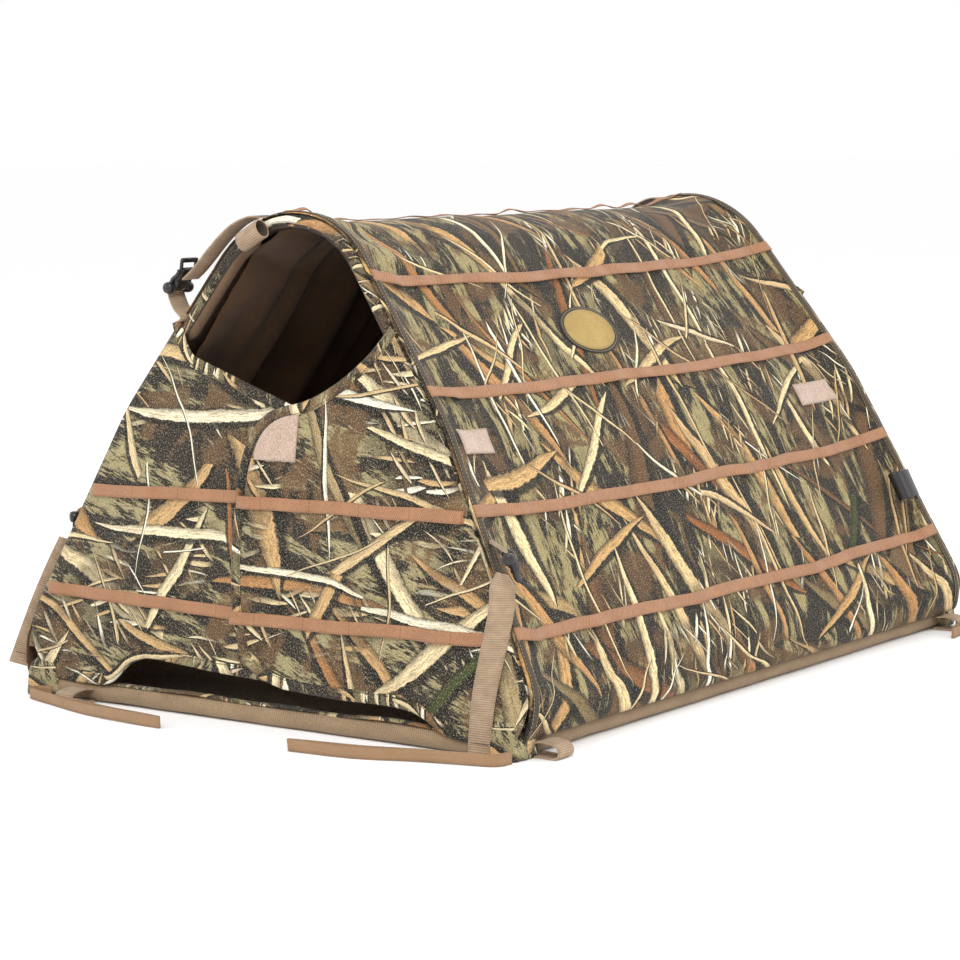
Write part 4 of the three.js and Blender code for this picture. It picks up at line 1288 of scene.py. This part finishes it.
def buckle(name, node, across, along, out, body, shift=(0, 0, 0)):
    """A ladder-lock buckle: a thick bar, two cheeks, a solid grip and a looped lever."""
    low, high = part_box(node)
    across, along, out = (np.array(v, float) for v in (across, along, out))
    bar_at = np.array((low + high) / 2) + along * 0.0155 + shift

    def side_view(start, stop):
        line = smooth_path(BUCKLE_SIDE, 60)[start:stop:3]
        place = bar_at + along * line[:, :1] + out * line[:, 1:]
        slope = tangents(line)
        return place, along * -slope[:, 1:] + out * slope[:, :1]

    parts = Parts()
    bar = bar_at + np.linspace(-0.0125, 0.0125, 9)[:, None] * across
    parts.rail(bar, along, 0.0070, out, 0.0070, power=1.0)
    for k in (-1, 1):
        knob = bar_at + across * (k * 0.0145)
        ends = [knob - across * (k * 0.0017), knob + across * (k * 0.0012)]
        parts.rail(ends, along, 0.0125, out, 0.0125, power=1.0, sides=20)
        for start, stop, at, width in ((0, 40, 0.0138, 0.0034), (34, 60, 0.0108, 0.0030)):
            centers, normals = side_view(start, stop)
            parts.rail(centers + across * (k * at), across, width, normals, 0.0034)
    for start, stop, width in ((18, 28, 0.026), (33, 43, 0.026), (53, 60, 0.0225)):
        centers, normals = side_view(start, stop)
        parts.rail(centers, across, width, normals, 0.0026)
    for start, stop, depth in ((3, 15, 0.0118), (12, 27, 0.0098), (24, 40, 0.0070)):
        centers, normals = side_view(start, stop)
        parts.rail(centers, across, 0.0220, normals, depth, power=0.8)
    for k in range(-4, 5):
        centers, normals = side_view(33, 40)
        parts.rail(centers + across * (k * 0.0027) + normals * 0.0012, across, 0.0010, normals, 0.0014)
    piece = parts.build(name, PLASTIC)
    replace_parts(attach(piece, body), node)
    return bar_at


WALL_UP = unit(SHOULDER[0] - HIP[0], 0, SHOULDER[1] - HIP[1])


def webbing(name, path, across, body, width=WEBBING_WIDTH):
    """A strap of webbing that rides on a body."""
    strap = tape(name, path, across, width, WEBBING_THICKNESS, WEBBING)
    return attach(strap, body)


# Puts the darker webbing on the strap's underside: painted shade.
def painted_shade_back(strap):
    strap.data.materials.append(SHADED_WEBBING)
    strap.modifiers["thickness"].material_offset = 1
    return strap


def hemmed_tape(name, path, across, body, hem=0.014, width=WEBBING_WIDTH):
    """A webbing end: the strap, its end folded back behind it, and stitches across the fold."""
    path = np.asarray(path, float)
    across = np.broadcast_to(across, path.shape) / np.linalg.norm(across, axis=-1, keepdims=True)
    t = tangents(path)
    normal = np.cross(across, t)
    away = path[-1] + t[-1] * 0.0012 + normal[-1] * 0.0012
    fold = [away, path[-1] + normal[-1] * 0.0022]
    fold += [path[-1] - t[-1] * d + normal[-1] * 0.0022 for d in np.linspace(0.003, hem, 5)]
    sides = np.concatenate([across, np.repeat(across[-1:], len(fold), 0)])
    strap = webbing(name, np.concatenate([path, fold]), sides, body, width)
    at = path[-1] - t[-1] * (hem - 0.003) - normal[-1] * 0.0009
    row = at + across[-1] * np.linspace(-width / 2 + 0.0015, width / 2 - 0.0015, 12)[:, None]
    seam = stitches(name + "_hem_stitches", row, -normal[-1], DARK_THREAD, pitch=0.003, length=0.0022)
    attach(seam, body)
    return strap


# The rear lever's side view: distance from its middle, and how far it stands out.
LEVER_SIDE = ((-0.0145, -0.0030), (-0.009, 0.0030), (0.000, 0.0052), (0.008, 0.0050),
              (0.0125, 0.0025), (0.0140, -0.0015), (0.0115, -0.0050), (0.0060, -0.0062))


def curled_lever(side_name, side):
    """A rear corner buckle, lever outwards: a plate that curls under at its free edge."""
    place = "rear_" + side_name
    low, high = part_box("corner_buckle_" + place)
    middle = np.array((low + high) / 2) + (side * 0.002, -0.029, -0.001)
    up = WALL_UP * (side, 1, 1)
    out = unit(-up[2] * -side, 0, abs(up[0]))
    along = np.array([0, -1.0, 0])
    profile = 1.35 * smooth_path(LEVER_SIDE, 44)
    reach = np.linspace(-1, 1, 16)[:, None]
    edge = 0.0013 * np.sin(profile[:, 0] * 400)[None]
    height = reach * 0.0172 + np.where(reach < 0, edge, 0.5 * edge) * np.abs(reach) ** 3
    rows = middle + height[..., None] * up + (along * profile[:, :1] + out * profile[:, 1:])[None]
    plate = thicken(grid_mesh("buckle_" + place, rows, [PLASTIC]), 0.0024, 0.0)
    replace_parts(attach(plate, "rear_hoop"), "corner_buckle_" + place)
    wall = middle - along * 0.021 - out * 0.004
    path = smooth_path([wall, middle - along * 0.012 - out * 0.0015, middle - out * 0.0005,
                        middle + along * 0.008 - out * 0.001], 14)
    webbing("neck_webbing_" + place, path, up, "rear_hoop", WEBBING_WIDTH - 0.002)


def front_buckle(side_name, side):
    place = "front_" + side_name
    across = unit(0.59, -side * 0.81, 0)
    up = WALL_UP * (side, 1, 1)
    up = unit(*(up - across * float(up @ across)))
    out = np.cross(across, up)
    out = out if out[0] * side > 0 else -out
    tuck = (0.008, 0.014, 0) if side < 0 else (0.007, -0.010, 0.001)
    bar = buckle("buckle_" + place, "corner_buckle_" + place, across, up, out, "front_hoop", tuck)
    z = float(bar[2])
    wall = np.array([side * float(half_width(z + 0.012, 0.001)), float(end_y(-1, z, 0.020)), z + 0.012])
    path = smooth_path([wall, (wall * 0.55 + bar * 0.45) + up * 0.004, bar + up * 0.0048 + out * 0.001,
                        bar - out * 0.0046 + up * 0.001], 16)
    webbing("neck_webbing_" + place, path, across, "front_hoop")


# The front corner straps' free ends: turn, x, z and how far outside the end plane.
TAILS = {
    "right": ((0.30, 0.2960, 0.176, 0.0060), (0.75, 0.2975, 0.161, 0.0070), (1.05, 0.2995, 0.142, 0.0085),
              (1.35, 0.2915, 0.096, 0.0078), (1.7, 0.2845, 0.055, 0.0066), (2.0, 0.2815, 0.0035, 0.0048)),
    "left": ((1.0, -0.292, 0.164, -0.0190), (1.0, -0.310, 0.134, -0.0210), (1.0, -0.3290, 0.095, -0.0215),
             (1.0, -0.3400, 0.058, -0.0168), (1.0, -0.349, 0.028, -0.0140)),
}
EDGE_ON, OUTWARDS, FORWARD = unit(0.59, -0.81, 0), unit(0.81, 0.59, 0), unit(1, 0, 0)


def corner_tail(side_name, side):
    """The long free end of a front corner strap."""
    points = [(turn, x, float(end_y(-1, z, -proud)), z) for turn, x, z, proud in TAILS[side_name]]
    rows = smooth_path(points, 70)
    turn = rows[:, :1]
    first, second = np.clip(turn, 0, 1), np.clip(turn - 1, 0, 1)
    across = (1 - first) * EDGE_ON + (first - second) * OUTWARDS + second * FORWARD
    if side < 0:
        across = across + (0, 0, -0.30)
    strap = hemmed_tape("corner_tail_" + side_name, rows[:, 1:], across, "front_hoop")
    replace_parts(strap, f"corner_tail_front_{side_name}")


for side_name, side in SIDES:
    front_buckle(side_name, side)
    corner_tail(side_name, side)
    curled_lever(side_name, side)


# ---- The carrying strap's ends, over the left shoulder of each hoop ----
STRAP_LINE = ((-0.034, 0.5090), (-0.050, 0.5095), (-0.070, 0.5025), (-0.085, 0.4920), (-0.099, 0.4790),
              (-0.112, 0.4650), (-0.124, 0.4530), (-0.134, 0.4450))
STRAP_INSET = 0.006


def shoulder_strap(end_name, end):
    body = end_name + "_hoop"
    line = smooth_path(STRAP_LINE, 60)
    path = np.stack([line[:, 0], end_y(end, line[:, 1], STRAP_INSET), line[:, 1]], 1)
    strap = painted_shade_back(webbing("carry_strap_" + end_name, path, (0, end, 0), body))
    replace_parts(strap, "shoulder_strap_" + end_name)
    along, out = unit(-0.66, 0, -0.75), unit(-0.75, 0, 0.66)
    bar = buckle("carry_buckle_" + end_name, "shoulder_buckle_" + end_name, (0, 1, 0), along, out, body)
    foot = np.array([-0.1360, end_y(end, 0.402, STRAP_INSET), 0.402])
    path = smooth_path([bar + out * 0.0046, bar + along * 0.0048, bar + along * 0.008 - out * 0.003,
                        (bar + foot) / 2 + (-0.001, 0, -0.004), foot + (0.004, 0, 0.004), foot], 22)
    webbing("carry_neck_" + end_name, path, (0, end, 0), body)


def carry_ring(end_name, end):
    """A short tube of webbing sewn at the hoop, where the strap starts."""
    middle, way = np.array([-0.0415, 0.4910]), np.array([0.869, 0.495])
    half = 0.0145
    t = np.linspace(-half, half, 7)
    a = np.linspace(0.2, 2 * math.pi + 0.2, 30)
    up = np.array([-way[1], way[0]])
    rows = []
    for angle in a:
        rise, reach = 0.0100 * math.sin(angle), 0.0088 * math.cos(angle)
        x, z = (middle + up * rise)[:, None] + way[:, None] * t
        y = end_y(end, z, HOOP_DEPTH) + end * (0.0165 + reach)
        rows.append(np.stack([x, y, z], 1))
    # The ring's inside gets the darker webbing: painted shade.
    ring = grid_mesh("carry_ring_" + end_name, np.array(rows), [WEBBING, SHADED_WEBBING])
    thicken(ring, WEBBING_THICKNESS, 0.0, inner=1)
    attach(ring, end_name + "_hoop")


for end_name, end in ENDS:
    shoulder_strap(end_name, end)
    carry_ring(end_name, end)


# ---- Loops for stakes, and the tie ribbons ----
def stake_loop(side_name, side, end_name, end):
    node = f"stake_loop_{end_name}_{side_name}"
    low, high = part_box(node)
    size = high - low
    middle = np.array((low + high) / 2)
    if size.x < size.y:
        axis, out = np.array([1.0, 0, 0]), np.array([0, float(end), 0])
    else:
        axis, out = np.array([0, 1.0, 0]), np.array([float(side), 0, 0])
    reach = max(size.x, size.y)
    inner = middle - out * reach / 2
    inner[2] = 0
    outline = [(-0.004, 0.0015), (0.006, 0.0010), (reach - 0.009, 0.0010), (reach - 0.003, 0.0026),
               (reach - 0.0012, 0.0080), (reach - 0.0045, 0.0134), (reach - 0.012, 0.0152),
               (0.010, 0.0160), (-0.004, 0.0135)]
    line = smooth_path(outline, 60)
    path = inner + out * line[:, :1] + np.array([0, 0, 1.0]) * line[:, 1:]
    width = min(size.x, size.y)
    loop = webbing(f"stake_webbing_{end_name}_{side_name}", path, axis, "base", width)
    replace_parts(loop, node)


RIBBON_LINES = {
    "front_right": ((0.322, -0.462), (0.318, -0.478), (0.300, -0.486), (0.240, -0.500),
                    (0.180, -0.519), (0.107, -0.530)),
    "front_left": ((-0.283, -0.457), (-0.2995, -0.463), (-0.2965, -0.474), (-0.250, -0.4885),
                   (-0.160, -0.508), (-0.076, -0.516)),
    "rear_right": ((0.330, 0.441), (0.358, 0.437), (0.371, 0.412), (0.362, 0.388), (0.366, 0.362)),
}


def tie_ribbon(name, points, gap):
    """A doubled tape standing on its edge: out along the line, round a fold, and back."""
    line = smooth_path(points, 90)
    t, side = tangents(line), beside(line)
    share = np.linspace(0, 1, len(line))
    apart = (0.0008 + gap * np.sin(math.pi * np.clip((share - 0.25) / 0.85, 0, 1)) ** 1.5)[:, None]
    fold = [line[-1] + side[-1] * apart[-1] * math.cos(a) + t[-1] * 0.0016 * math.sin(a)
            for a in np.linspace(0.4, math.pi - 0.4, 6)]
    flat = np.concatenate([line + side * apart, fold, (line - side * apart)[::-1]])
    steps = np.arange(len(flat)) * 0.11
    height = 0.0064 + 0.0005 * noise2(steps, 0 * steps, len(name))
    path = np.column_stack([flat, height])
    lean = 0.10 * noise2(steps, 0 * steps, len(name) + 5)
    across = np.column_stack([lean * 0.4, lean, np.ones(len(flat))])
    ribbon = tape("ribbon_" + name, path, across, 0.0118, 0.0007, RIBBON, columns=4)
    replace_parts(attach(ribbon, "base"), "tie_ribbon_" + name)


for corner in CORNERS:
    stake_loop(*corner)
for name, points in RIBBON_LINES.items():
    tie_ribbon(name, points, 0.0032)


# ---- The frame's own finish ----
def finish_frame():
    looks = {"hoop_": TUBE, "base_tube_": TUBE, "corner_bracket_": PLASTIC, "hinge_pin_": STEEL}
    for name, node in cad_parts.items():
        for prefix, look in looks.items():
            if name.startswith(prefix):
                node.data.materials.clear()
                node.data.materials.append(look)


finish_frame()
